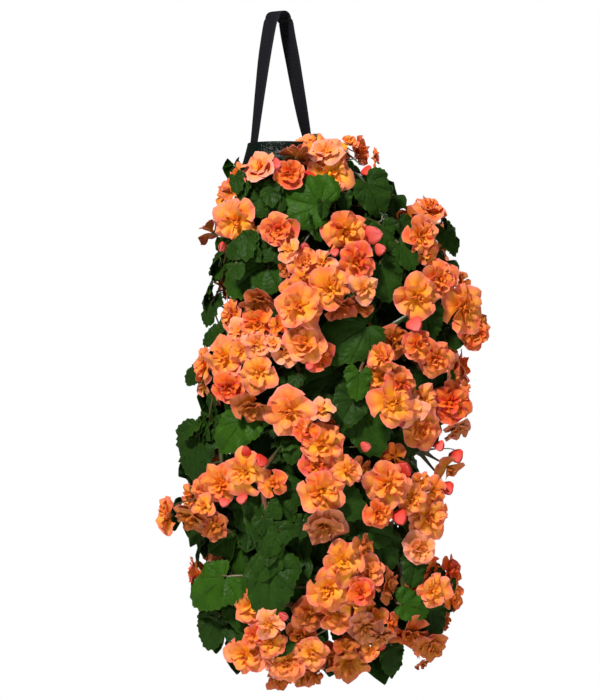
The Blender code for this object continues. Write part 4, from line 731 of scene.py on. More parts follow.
# Leaves
VEINS = (-120, -86, -47, 0, 38, 69, 122)      # degrees from the tip to the lobes that the veins run to
SMALL_VEINS = (-128, -86, -44, 0, 34, 76, 128)
VEIN_HALF = 1.5           # degrees from a vein's middle to its sides
RAY_STEP = 6.0            # degrees between the rays of points from vein to vein, or about that
LEAF_RINGS = np.array((0.05, 0.20, 0.38, 0.55, 0.71, 0.85, 0.95, 1.0))
FINE_LEAF = 0.7 * MM
LOBE_SOFT = 7.0           # degrees over which the frame's straight outline is rounded
NOTCH_TURN = 7.0          # degrees that the blade goes on into its notch, and its share of the reach there
NOTCH_REACH = 0.55
# Shares of a leaf's length: teeth and the notches between them, a tooth's growth on a vein, the skin's
# puckers, finer wrinkles and grooves at the veins, and the edge's waves and its most roll downward
TEETH = (0.034, -0.030)
VEIN_TOOTH = 0.030
PUCKER = 0.010
WRINKLE = 0.003
GROOVE = -0.011
EDGE_WAVE = 0.020
EDGE_ROLL = 0.030


def outline_reach(outline):
    """A blade's outline as degrees and distances from where its veins meet, in order of the degrees."""
    return np.array(sorted((math.degrees(math.atan2(v, u - NOTCH)), math.hypot(u - NOTCH, v))
                           for u, v in outline[1:-1]))


def leaf_rays(veins, first, last, step):
    """Directions of a blade's rays in degrees, and how much each lies on a vein."""
    turns, on = [first], [0.0]
    for vein in (*veins, None):
        high = last if vein is None else vein - VEIN_HALF
        count = max(2, 2 * round((high - turns[-1]) / step / 2))
        turns += list(np.linspace(turns[-1], high, count + 1)[1:])
        on += [0.0] * count
        if vein is not None:
            turns += [vein, vein + VEIN_HALF]
            on += [1.0, 0.0]
    return np.array(turns), np.array(on)


def add_blade(skin, leaf, tone, rings=LEAF_RINGS, step=RAY_STEP):
    """One leaf's blade with its toothed edge, its veins sunk and the skin between them puckered."""
    rng = drawn("blade", *leaf.key)
    small = leaf.small()
    reach = outline_reach(SMALL_BLADE if small else BLADE)
    veins = np.array(SMALL_VEINS if small else VEINS, float)
    turns, on = leaf_rays(veins, reach[0, 0] - NOTCH_TURN, reach[-1, 0] + NOTCH_TURN, step)
    spread = np.array((-2, -1, 0, 1, 2)) * LOBE_SOFT
    far = np.mean([np.interp(turns + turn, reach[:, 0], reach[:, 1]) for turn in spread], axis=0)
    far[[0, -1]] *= NOTCH_REACH
    sizes = np.array([rng.uniform(0.5, 1.5) for _ in turns])
    far = far * (1 + np.where(np.arange(len(turns)) % 2 == 0, *TEETH) * sizes) + on * VEIN_TOOTH
    nearest = np.sort(np.abs(turns[:, None] - veins[None, :]), axis=1)
    share = np.clip(nearest[:, 0] / np.maximum(nearest[:, 0] + nearest[:, 1], 1e-6) * 2, 0, 1)
    s = rings[:, None] * np.ones((1, len(turns)))
    radius = s * far
    angle = np.radians(turns)
    phase = rng.uniform(0, 2 * math.pi)
    rise = PUCKER * np.sin(math.pi * share) * smooth_step(0.05, 0.35, s) * (1 - 0.6 * s)
    rise = rise + WRINKLE * np.sin(15 * s - 5 * share + phase) * smooth_step(0.1, 0.4, s)
    rise = rise + GROOVE * on * (1 - 0.75 * s)
    margin = EDGE_WAVE * np.sin(angle * 6 + phase) * s ** 3
    margin = margin - EDGE_ROLL * smooth_step(0.80, 1.0, s) * rng.uniform(0.2, 1.0)
    grid = leaf.surfaces(NOTCH + radius * np.cos(angle), radius * np.sin(angle), rise + margin)
    if leaf.hand > 0:
        grid = grid[:, ::-1]
        s, on, share = s[:, ::-1], on[::-1], share[::-1]
    points, quads = slab(grid, FINE_LEAF * (1.15 - 0.5 * s))
    chevron = s * (0.4 + 0.6 * far.max()) * leaf.length / MM / 10 - 0.9 * share
    look = np.tile(threes(s, on * (1 - 0.5 * s), tone), (2, 1))
    flow = threes(np.tile(chevron.ravel(), 2), np.repeat([0.0, 1.0], s.size), rng.random())
    skin.add(points, quads, look, flow)


# Ranges that the smaller and the inner leaves draw from: length and reach from the stem in mm, fold, droop
SMALL_LENGTH = (26, 46)
SMALL_REACH = (22, 52)
SMALL_LEAST_REACH = 12 * MM
SMALL_LEAF_DEPTH = 0.66   # the largest share of the outline at which a small leaf stands
INNER_LENGTH = (40, 60)
LOOSE_FOLD = (0.10, 0.30)
SMALL_DROOP = (0.10, 0.40)
INNER_DROOP = (0.10, 0.35)


class SmallLeaf(Leaf):
    """A smaller leaf among the rest, that grows from a place on a stem."""

    def __init__(self, key, root, rng):
        self.length = rng.uniform(*SMALL_LENGTH) * MM
        self.key = key
        self.tone = "f"
        self.root = root
        axis = Vector((POUCH_X, 0.0, root.z))
        out = ((root - axis).normalized() + jitter(rng, 0.75) + Vector((0, 0, 0.1))).normalized()
        reach = rng.uniform(*SMALL_REACH) * MM
        self.place = root + out * reach
        while outline_share(self.place) > SMALL_LEAF_DEPTH and reach > SMALL_LEAST_REACH:
            reach *= 0.8
            self.place = root + out * reach
        face = self.place - axis
        face.z *= 0.2
        self.normal = (face.normalized() + Vector((0, 0, 0.45)) + jitter(rng, 0.35)).normalized()
        self.lie(rng, out + Vector((0, 0, -0.8)) + jitter(rng, 0.5), LOOSE_FOLD, SMALL_DROOP)


class InnerLeaf(Leaf):
    """A dark leaf inside the plant, which closes the view between the blooms. Its dark green is mostly
    painted shade.
    """

    def __init__(self, key, place, out, rng):
        self.key = key
        self.tone = "f"
        self.length = rng.uniform(*INNER_LENGTH) * MM
        self.place = place
        self.normal = (out + Vector((0, 0, 0.30)) + jitter(rng, 0.38)).normalized()
        self.lie(rng, Vector((rng.uniform(-0.9, 0.9), 0, -1.0)), LOOSE_FOLD, INNER_DROOP)


# Stalks: round tubes, and the frame's own stalks rounded
TUBE_SIDES = 6
TUBE_START = Vector((0.31, 0.22, 0.92))       # the way from a tube's middle to its first side, or near it
EXTRA_STALK = 1.2 * MM    # radii of an extra bloom's stalk, and of a small leaf's along its length
PETIOLE = (1.3 * MM, 1.3 * MM, 1.3 * MM, 1.1 * MM, 1.1 * MM, 1.1 * MM)
STALK_ROUND = 1           # subdivisions that round the frame's faceted stalks
STALK_PUSH = 0.4 * MM     # how far they move outward again, since rounding thins them


def bent(start, first, second, end, count):
    """Points along a Bezier curve."""
    return [start * (1 - t) ** 3 + first * 3 * t * (1 - t) ** 2 + second * 3 * t * t * (1 - t)
            + end * t ** 3 for t in (k / count for k in range(count + 1))]


def add_stalk(skin, path, radii):
    """A round stalk along a path of Vectors."""
    rings = []
    normal = TUBE_START
    for k, point in enumerate(path):
        along = (path[min(k + 1, len(path) - 1)] - path[max(k - 1, 0)]).normalized()
        normal = (normal - along * normal.dot(along)).normalized()
        cross = along.cross(normal)
        rings.append([point + (normal * math.cos(turn) + cross * math.sin(turn)) * radii[k]
                      for turn in (2 * math.pi * side / TUBE_SIDES for side in range(TUBE_SIDES))])
    skin.add_tube(np.array(rings), GREY, NONE, 1)


def add_petiole(skin, leaf):
    end = leaf.base()
    way = leaf.root + (leaf.root - Vector((POUCH_X, 0, leaf.root.z))).normalized() * 12 * MM
    path = bent(leaf.root, way, end - leaf.along * 8 * MM - leaf.normal * 3 * MM, end, len(PETIOLE) - 1)
    add_stalk(skin, path, PETIOLE)


def add_frame_stalks(skin, node, *lost):
    """The frame's node without its blooms or blades, rounded. Each of lost holds places and a number, and
    the points within that number of edges of a place go."""
    work = bmesh.new()
    work.from_mesh(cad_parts[node].data)
    bmesh.ops.remove_doubles(work, verts=work.verts, dist=1e-6)
    work.verts.ensure_lookup_table()
    going = {vertex for places, distance in lost for vertex in ring_round(work, places, distance)}
    bmesh.ops.delete(work, geom=list(going), context="VERTS")
    bmesh.ops.holes_fill(work, edges=work.edges, sides=12)
    mesh = mesh_from(work, "stalks")
    holder = new_object("stalks", mesh)
    rounded = holder.modifiers.new("round", "SUBSURF")
    rounded.levels = rounded.render_levels = STALK_ROUND
    result = with_modifiers(holder)
    points = np.empty(len(result.vertices) * 3)
    normals = np.empty(len(result.vertices) * 3)
    result.vertices.foreach_get("co", points)
    result.vertices.foreach_get("normal", normals)
    quads = np.empty(len(result.loops), int)
    result.loops.foreach_get("vertex_index", quads)
    points = points.reshape(-1, 3) + normals.reshape(-1, 3) * STALK_PUSH
    skin.add(points, quads.reshape(-1, 4), GREY, NONE, 1)
    bpy.data.objects.remove(holder)
    bpy.data.meshes.remove(mesh)
    bpy.data.meshes.remove(result)
    return points


def ring_round(work, places, distance):
    """The vertices within a number of edges of any of these places."""
    if not places:
        return set()
    tree = tree_of(places)
    found = {vertex for vertex in work.verts if tree.find(vertex.co)[2] < FOUND}
    for _ in range(distance):
        found |= {edge.other_vert(vertex) for vertex in found for edge in vertex.link_edges}
    return found


# Sprays and plants
SPRAY_EDGES = 3           # edges from a bloom's known point over its whole body in the frame
BUD_EDGES = 1
SMALL_LEAVES = 10         # further small leaves on each plant
SMALL_TRIES = 8           # places tried for each, so that it keeps clear of the blooms
SMALL_RINGS = np.array((0.06, 0.35, 0.65, 0.90, 1.0))
SMALL_STEP = 13.0         # degrees between their rays
INNER_RINGS = np.array((0.06, 0.40, 0.75, 1.0))
INNER_STEP = 17.0
INNER_EVERY = 28.5        # mm between the rows of dark inner leaves, and their columns
INNER_FROM = -212.0       # mm, heights of their first and last rows
INNER_TO = -832.0
INNER_STRAY = 9           # mm that a leaf strays from its row and column
INNER_DEPTH = (0.28, 0.58)            # shares of the outline that they stand at
INNER_EDGE = 24.0         # mm that they stay within the outline's sides
LONGEST_PETIOLE = 150 * MM
POUCH_ROOM = 72.0 * MM    # how near the tube's middle a leaf may stand
# Gaps that the backdrop shows through: right, height and radius in mm
CLEARINGS = ((197, -575, 17), (160, -647, 13), (85, -786, 12))


def held_by_frame(kind, prefix, rows):
    """The frame's nodes of one kind, each with the blooms or leaves that it holds."""
    points = FramePoints(prefix)
    held = {name: [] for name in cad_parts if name.startswith(prefix)}
    for row in rows:
        made = kind(*row)
        if made.find(points):
            held[made.node].append(made)
        else:
            print("no place in the frame for", prefix, made.key)
    return held


def make_sprays():
    rows = [(spray, number, row, FRONT) for spray, blooms in SPRAYS.items()
            for number, row in enumerate(blooms)]
    rows += [("back_" + spray, number, mirrored(row), BACK) for spray in BACK_SPRAYS
             for number, row in enumerate(SPRAYS[spray])]
    held = held_by_frame(Bloom, "spray_", rows)
    for node, blooms in held.items():
        skin = Skin()
        for bloom in blooms:
            (add_bud if bloom.bud else add_bloom)(skin, bloom)
        for number, row in enumerate(EXTRA_BLOOMS.get(node, ())):
            extra = ExtraBloom(node, number, *row)
            add_bloom(skin, extra)
            end = extra.place + extra.axis * extra.width * FULLER * STALK_END
            path = bent(extra.root, extra.root, end - extra.axis * 2 * MM, end, 4)
            add_stalk(skin, path, [EXTRA_STALK] * len(path))
        add_frame_stalks(skin, node, ([bloom.tip() for bloom in blooms if not bloom.bud], SPRAY_EDGES),
                         ([bloom.tip() for bloom in blooms if bloom.bud], BUD_EDGES))
        skin.piece("fine_" + node, [node], "petal", [petal_material(), stalk_material()])
    return [bloom for blooms in held.values() for bloom in blooms]


def make_plants(blooms):
    rows = [(number, row, FRONT) for number, row in enumerate(LEAVES)]
    rows += [(number, mirrored_leaf(LEAVES[number]), BACK) for number in BACK_LEAVES]
    petals = tree_of([bloom.place for bloom in blooms])
    skins, stems = {}, {}
    for node, leaves in held_by_frame(Leaf, "plant_", rows).items():
        skin = skins[node] = Skin()
        for leaf in leaves:
            add_blade(skin, leaf, LEAF_TONES_AND_SHADE[leaf.tone])
        stem = add_frame_stalks(skin, node, ([place for leaf in leaves for place in leaf.frame_blade()], 0))
        stems[node] = [Vector(point) for point in stem
                       if math.hypot(point[0] - POUCH_X, point[1]) > POUCH_ROOM]
        add_small_leaves(skin, node, stems[node], petals)
    add_inner_leaves(skins, stems, petals)
    for node, skin in skins.items():
        skin.piece("fine_" + node, [node], "leaf", [leaf_material(), stalk_material()])


def add_small_leaves(skin, node, stem, petals):
    rng = drawn("small", node)
    if not stem:
        return
    for k in range(SMALL_LEAVES):
        for _ in range(SMALL_TRIES):
            leaf = SmallLeaf((node, k), rng.choice(stem), rng)
            if petals.find(leaf.place)[2] > 0.55 * leaf.length + 14 * MM:
                add_blade(skin, leaf, rng.uniform(0.05, 0.5), SMALL_RINGS, SMALL_STEP)
                add_petiole(skin, leaf)
                break


def add_inner_leaves(skins, stems, petals):
    roots = [(point, node) for node, stem in stems.items() for point in stem]
    near = tree_of([point for point, _ in roots])
    rng = drawn("inner")
    for height in np.arange(INNER_FROM, INNER_TO, -INNER_EVERY):
        left, right, _ = between(HABIT, height)
        for side in (FRONT, BACK):
            for across in np.arange(left + INNER_EDGE, right - INNER_EDGE, INNER_EVERY):
                x = (across + rng.uniform(-INNER_STRAY, INNER_STRAY)) * MM
                z = (height + rng.uniform(-INNER_STRAY, INNER_STRAY)) * MM
                place, out = outline_place(x, z, rng.uniform(*INNER_DEPTH), side)
                if math.hypot(place.x - POUCH_X, place.y) < POUCH_ROOM:
                    place.y = side * math.sqrt(max(POUCH_ROOM ** 2 - (place.x - POUCH_X) ** 2, 0.0))
                leaf = InnerLeaf(("inner", round(across), round(height), side), place, out, rng)
                in_clearing = any(math.hypot(x / MM - across_, z / MM - up) < size + 0.45 * leaf.length / MM
                                  for across_, up, size in CLEARINGS)
                if in_clearing or petals.find(place)[2] < 0.40 * leaf.length:
                    continue
                _, number, distance = near.find(leaf.base())
                if distance > LONGEST_PETIOLE:
                    continue
                leaf.root, node = roots[number]
                # Most inner leaves take the darkest greens, as painted shade inside the plant.
                tone = rng.uniform(0.0, 0.16) if rng.random() < 0.85 else 0.4
                add_blade(skins[node], leaf, tone, INNER_RINGS, INNER_STEP)
                add_petiole(skins[node], leaf)


# Strap
WEB_WIDTH = 25.0 * MM
WEB_THICK = 1.5 * MM
HOOK_RADIUS = 10.0 * MM
LOOP_TURN = 45.0          # degrees between the loop at its top and the photograph's plane
LOOP_PARTS = 8            # parts of its half circle
# Legs between the hook and the mouth: height, distances right and back in mm, turn in degrees
RIGHT_LEG = ((-12, 9.6, 8.4, 46), (-30, 12.6, 11.0, 47), (-60, 18.4, 14.8, 46), (-101, 25.6, 19.9, 41),
             (-137, 32.2, 24.6, 33))
LEFT_LEG = ((-12, -9.4, -8.2, 43), (-30, -12.9, -10.6, 41), (-60, -17.5, -14.8, 38),
            (-101, -22.4, -19.8, 31), (-137, -26.6, -24.6, 25))
TUCK_DEPTH = 46.0 * MM    # length of each strap end inside the pouch
WEB_STEP = 2.0 * MM
WEB_COLUMNS = 22
WEB_EDGE = 0.8            # share of the half width where its edge begins, which is ribbed
WEB_RIB = 4.0             # mm from rib to rib

# Pouch: height, half width and half depth of the tube, in mm
SECTIONS = ((-166, 43.0, 62.0), (-186, 47.5, 62.5), (-222, 57.0, 62.5), (-262, 62.5, 62.5),
            (-590, 62.5, 62.5), (-622, 71.0, 51.0), (-650, 83.0, 33.0), (-668, 92.0, 14.0),
            (-679, 96.5, 2.2))
TUBE_RADIUS = 62.5        # over most of its height
POUCH_WALL = 1.2 * MM
POUCH_SIDES = 16          # sides of the frame's tube, and degrees from +X to the one that the strap lies on
STRAP_SIDE = 29.5
SOIL_TOP = 1              # the section that the soil reaches up to
GAP = 0.3 * MM            # between the strap, the pouch and the soil
# Planting holes: degrees from the front towards +X, and height in mm
HOLES = ((-38.0, -238), (187.0, -240), (-60.5, -290), (7.0, -300), (74.5, -262), (-60.5, -405),
         (52.0, -372), (7.0, -420), (74.5, -480), (-60.5, -520), (7.0, -530), (-15.5, -570), (52.0, -560),
         (142.0, -345), (187.0, -500))
HOLE_RADIUS = 11.0 * MM
HOLE_CUT = 24 * MM        # length of the round cutters
HOLE_SIDES = 24
FILM_ROUND = 96           # points round the film, and mm between its rows
FILM_STEP = 5.0
FOLDS = 2.2 * MM          # height of its folds


def pouch_corner(height, number):
    half_width, half_depth = between(SECTIONS, height)
    turn = math.radians(STRAP_SIDE + (number - 1.5) * 360 / POUCH_SIDES)
    return Vector((POUCH_X + (half_width * MM - POUCH_WALL) * math.cos(turn),
                   (half_depth * MM - POUCH_WALL) * math.sin(turn), height * MM))


def strap_side(height, left):
    """Middle of the tube's inner side that a strap end lies on, its way to the front and its way in."""
    front, back = [pouch_corner(height, k) for k in ((10, 9) if left else (1, 2))]
    forward = (front - back).normalized()
    inward = forward.cross(Vector((0, 0, 1))) * (-1 if left else 1)
    return (front + back) / 2, forward, inward


def strap_stations():
    """The strap's sections from its left end over the hook to its right end, as point and way across."""
    legs = []
    clear = GAP + WEB_THICK / 2 + 0.5 * MM
    mouth = SECTIONS[0][0]
    for left in (True, False):
        leg = []
        for height in (mouth - TUCK_DEPTH / MM, SECTIONS[SOIL_TOP][0], mouth):
            middle, forward, inward = strap_side(height, left)
            leg.append((middle + inward * clear, forward))
        for height, right, back, turn in reversed(LEFT_LEG if left else RIGHT_LEG):
            across = Vector((math.sin(math.radians(turn)), -math.cos(math.radians(turn)), 0))
            leg.append((Vector((right, back, height)) * MM, across))
        legs.append(leg)
    top = math.radians(LOOP_TURN)
    across = Vector((math.sin(top), -math.cos(top), 0))
    arc = []
    radius = HOOK_RADIUS + WEB_THICK / 2
    for k in range(LOOP_PARTS + 1):
        turn = math.pi * (k / LOOP_PARTS - 0.5)
        out = radius * math.sin(turn)
        place = Vector((out * math.cos(top), out * math.sin(top), radius * math.cos(turn) - HOOK_RADIUS))
        arc.append((place, across))
    return legs[0] + arc + list(reversed(legs[1]))


def catmull(points, t):
    """A smooth curve through rows of numbers, at t stations along."""
    k = min(int(t), len(points) - 2)
    f = t - k
    a, b, c, d = (points[min(max(n, 0), len(points) - 1)] for n in (k - 1, k, k + 1, k + 2))
    return 0.5 * (2 * b + (c - a) * f + (2 * a - 5 * b + 4 * c - d) * f * f
                  + (3 * b - a - 3 * c + d) * f ** 3)


def squared(values, power):
    """Sines or cosines bent towards a box's, for a power under 1."""
    return np.sign(values) * np.abs(values) ** power


def make_strap():
    stations = strap_stations()
    places = np.array([point for point, _ in stations])
    ways = np.array([way for _, way in stations])
    dense = np.linspace(0, len(stations) - 1, 40 * len(stations))
    path = np.array([catmull(places, t) for t in dense])
    lengths = np.concatenate([[0.0], np.cumsum(np.linalg.norm(np.diff(path, axis=0), axis=1))])
    run = np.linspace(0, lengths[-1], int(lengths[-1] / WEB_STEP))
    marks = np.interp(run, lengths, dense)
    path = np.array([catmull(places, t) for t in marks])
    across = unit(np.array([catmull(ways, t) for t in marks]))
    along = unit(np.gradient(path, axis=0))
    across = unit(across - along * np.sum(across * along, axis=1, keepdims=True))
    out = np.cross(along, across)
    turns = 2 * math.pi * (np.arange(WEB_COLUMNS) + 0.5) / WEB_COLUMNS
    side = squared(np.cos(turns), 0.75) * WEB_WIDTH / 2
    thick = squared(np.sin(turns), 0.28) * WEB_THICK / 2
    edge = np.abs(side) > WEB_EDGE * WEB_WIDTH / 2
    rib = 1 + 0.10 * np.sin(run[:, None] / MM * 2 * math.pi / WEB_RIB) * edge
    wave = 0.35 * MM * np.sin(run * 47)
    grid = (path[:, None, :] + across[:, None, :] * side[None, :, None]
            + out[:, None, :] * (thick[None, :] * rib + wave[:, None] * 0.3)[..., None])
    skin = Skin()
    skin.add_tube(grid, threes(run[:, None], side[None, :], 0.0), NONE)
    skin.piece("webbing", ["strap"], "strap", [webbing_material()])


def ripple(a, z, seed, size):
    """A smooth pattern of folds in the film, from sines of unlike directions."""
    rng = drawn("film", seed)
    total = np.zeros(np.broadcast(a, z).shape)
    for _ in range(7):
        around = rng.randint(2, 9)
        down = rng.uniform(-60, 60)
        total = total + np.sin(around * a + down * z + rng.uniform(0, 2 * math.pi))
    return np.maximum(total / 7, -0.2) * size


def film_grid(rows, inset, folds):
    """Rings of points round the tube at some heights, and each column's angle."""
    heights = np.array(rows)
    sizes = np.array([between(SECTIONS, height) for height in heights]) * MM - inset
    a = np.linspace(0, 2 * math.pi, FILM_ROUND, endpoint=False)[None, :]
    swell = ripple(a, heights[:, None] * MM, "folds", folds)
    x = POUCH_X + (sizes[:, :1] + swell) * np.cos(a)
    y = (sizes[:, 1:] + swell) * np.sin(a)
    z = np.broadcast_to(heights[:, None] * MM, x.shape)
    return np.stack([x, y, z], axis=-1), a


def make_pouch():
    """The film's outside down to the seam and its inside up again, joined at the mouth."""
    top, bottom, floor = SECTIONS[0][0], SECTIONS[-1][0], SECTIONS[-2][0]
    down = list(np.arange(top, bottom, -FILM_STEP)) + [bottom]
    up = [height for height in down if height > floor][::-1]
    outside, a = film_grid(down, 0.0, FOLDS)
    inside, _ = film_grid(up, POUCH_WALL, FOLDS)
    rows = np.concatenate([outside, inside])
    ring = np.arange(FILM_ROUND)
    last = (len(rows) - 1) * FILM_ROUND
    join = np.stack([last + ring, ring, (ring + 1) % FILM_ROUND, last + (ring + 1) % FILM_ROUND], axis=-1)
    quads = np.concatenate([grid_quads(len(rows), FILM_ROUND, closed=True), join])[:, ::-1]
    skin = Skin()
    skin.add(rows, quads, threes(a * TUBE_RADIUS * MM, rows[:, :, 2], 0.0), NONE)
    cut_holes(skin.piece("film_tube", ["pouch"], "pouch", [film_material()], 40))


def cut_holes(pouch):
    """Cuts the planting holes through the film."""
    work = bmesh.new()
    for degrees, height in HOLES:
        out = Vector((math.sin(math.radians(degrees)), -math.cos(math.radians(degrees)), 0.0))
        half_width, half_depth = between(SECTIONS, height)
        wall = Vector((POUCH_X + out.x * half_width * MM, out.y * half_depth * MM, height * MM))
        turn = out.to_track_quat("Z", "Y").to_matrix().to_4x4()
        bmesh.ops.create_cone(work, cap_ends=True, segments=HOLE_SIDES, radius1=HOLE_RADIUS,
                              radius2=HOLE_RADIUS, depth=HOLE_CUT, matrix=Matrix.Translation(wall) @ turn)
    cutter = new_object("cutter", mesh_from(work, "cutter"))
    cut = pouch.modifiers.new("holes", "BOOLEAN")
    cut.operation = "DIFFERENCE"
    cut.object = cutter
    cut.solver = "EXACT"
    bpy.context.view_layer.update()
    result = with_modifiers(pouch)
    pouch.modifiers.clear()
    pouch.data = result
    bpy.data.objects.remove(cutter)


# Soil
SOIL_STEP = 12.0          # mm between its rows
SOIL_LUMP = 1.4 * MM      # how far its top is uneven, and how much its middle stands above its edge
SOIL_HEAP = 2.2 * MM
CRUMBS = 260
CRUMB_SIZE = (1.0, 3.4)   # mm
CRUMB_RINGS = ((-0.8, 0.5), (-0.3, 1.0), (0.4, 0.9), (0.8, 0.4))      # height and radius, in its size
CRUMB_SIDES = 6
LIGHT_CRUMBS = 0.12       # share of the crumbs that are light, as perlite is


def make_soil():
    """Potting mix: a lumpy top with crumbs, and the filled tube under it."""
    top, bottom = SECTIONS[SOIL_TOP][0], SECTIONS[-2][0] + 0.4
    walls, _ = film_grid(list(np.arange(top, bottom, -SOIL_STEP)) + [bottom], POUCH_WALL + GAP, 0.0)
    centre = np.array((POUCH_X, 0.0, top * MM))
    rng = np.random.default_rng(7)
    surface = []
    for share in np.linspace(0.04, 0.97, 18):
        ring = centre + (walls[0] - centre) * share
        ring[:, 2] += rng.uniform(-1.0, 1.0, len(ring)) * SOIL_LUMP - SOIL_HEAP * share ** 2
        surface.append(ring)
    skin = Skin()
    skin.add_tube(np.concatenate([np.array(surface), walls]), NONE, NONE)
    add_crumbs(skin, centre, walls[0], rng)
    skin.piece("potting_mix", ["soil"], "soil", [soil_material()], 180)


def add_crumbs(skin, centre, wall, rng):
    turns = np.linspace(0, 2 * math.pi, CRUMB_SIDES, endpoint=False)
    for _ in range(CRUMBS):
        edge = wall[rng.integers(len(wall))]
        place = centre + (edge - centre) * math.sqrt(rng.uniform(0.0, 0.86))
        size = rng.uniform(*CRUMB_SIZE) * MM
        rings = []
        for z, r in CRUMB_RINGS:
            arm = r * rng.uniform(0.7, 1.2, CRUMB_SIDES)
            height = z + rng.uniform(-0.15, 0.15, CRUMB_SIDES)
            rings.append(threes(arm * np.cos(turns), arm * np.sin(turns), height))
        turn = np.array(Matrix.Rotation(rng.uniform(0, 6), 3, Vector(rng.normal(size=3)).normalized()))
        points = np.concatenate(rings) @ turn.T * size + place
        light = float(rng.random() < LIGHT_CRUMBS)
        skin.add_tube(points.reshape(len(CRUMB_RINGS), CRUMB_SIDES, 3), (0, 0, light), NONE)


# Materials
class Nodes:
    """A material's node tree, built by short calls."""

    def __init__(self, name, roughness):
        self.material = bpy.data.materials.new(name)
        self.material.use_nodes = True
        self.tree = self.material.node_tree
        self.shader = self.tree.nodes["Principled BSDF"]
        self.shader.inputs["Roughness"].default_value = roughness

    def add(self, kind, **settings):
        node = self.tree.nodes.new(kind)
        for key, value in settings.items():
            setattr(node, key, value)
        return node

    def link(self, values, sockets):
        """Links or sets each socket to its value."""
        for value, socket in zip(values, sockets):
            if hasattr(value, "is_output"):
                self.tree.links.new(value, socket)
            else:
                socket.default_value = value

    def math(self, operation, *values, clamp=False):
        node = self.add("ShaderNodeMath", operation=operation, use_clamp=clamp)
        self.link(values, node.inputs)
        return node.outputs[0]

    def times(self, *values, clamp=False):
        return self.math("MULTIPLY", *values, clamp=clamp)

    def plus(self, *values, clamp=False):
        return self.math("ADD", *values, clamp=clamp)

    def parts(self, name):
        """The three numbers of a point's attribute."""
        split = self.add("ShaderNodeSeparateXYZ")
        self.link([self.add("ShaderNodeAttribute", attribute_name=name).outputs["Vector"]], split.inputs)
        return split.outputs

    def ramp(self, value, *stops):
        """Colours or greys between stops, each a place and its colour or grey."""
        node = self.add("ShaderNodeValToRGB")
        while len(node.color_ramp.elements) < len(stops):
            node.color_ramp.elements.new(0.5)
        for element, (place, colour) in zip(node.color_ramp.elements, stops):
            element.position = place
            element.color = (*colour, 1.0) if hasattr(colour, "__len__") else (colour, colour, colour, 1.0)
        self.link([value], node.inputs)
        return node.outputs[0]

    def mix(self, share, first, second):
        """The first colour with a share of the second."""
        node = self.add("ShaderNodeMix", data_type="RGBA")
        colours = [(*value, 1.0) if isinstance(value, tuple) else value for value in (first, second)]
        self.link([share, *colours], [node.inputs[0], node.inputs[6], node.inputs[7]])
        return node.outputs[2]

    def noise(self, scale, detail=3.0, vector=None, roughness=0.5):
        node = self.add("ShaderNodeTexNoise")
        vector = vector or self.add("ShaderNodeTexCoord").outputs["Object"]
        self.link((scale, detail, roughness, vector),
                  [node.inputs[key] for key in ("Scale", "Detail", "Roughness", "Vector")])
        return node.outputs["Fac"]

    def combine(self, *values):
        node = self.add("ShaderNodeCombineXYZ")
        self.link(values, node.inputs)
        return node.outputs[0]

    def bump(self, height, strength, distance):
        node = self.add("ShaderNodeBump")
        self.link((strength, distance, height),
                  [node.inputs[key] for key in ("Strength", "Distance", "Height")])
        self.tree.links.new(node.outputs[0], self.shader.inputs["Normal"])

    def colour(self, value):
        self.tree.links.new(value, self.shader.inputs["Base Color"])

    def rough(self, value):
        self.tree.links.new(value, self.shader.inputs["Roughness"])

    def shine(self, level):
        self.shader.inputs["Specular IOR Level"].default_value = level

    def soften(self, weight, radius, scale):
        """Lets light pass a little way through, as in petals and leaves."""
        self.shader.inputs["Subsurface Weight"].default_value = weight
        self.shader.inputs["Subsurface Radius"].default_value = radius
        self.shader.inputs["Subsurface Scale"].default_value = scale


def made_once(build):
    """Keeps the material that a builder makes, so that every piece shares it."""
    kept = []

    def get():
        if not kept:
            kept.append(build())
        return kept[0]
    return get


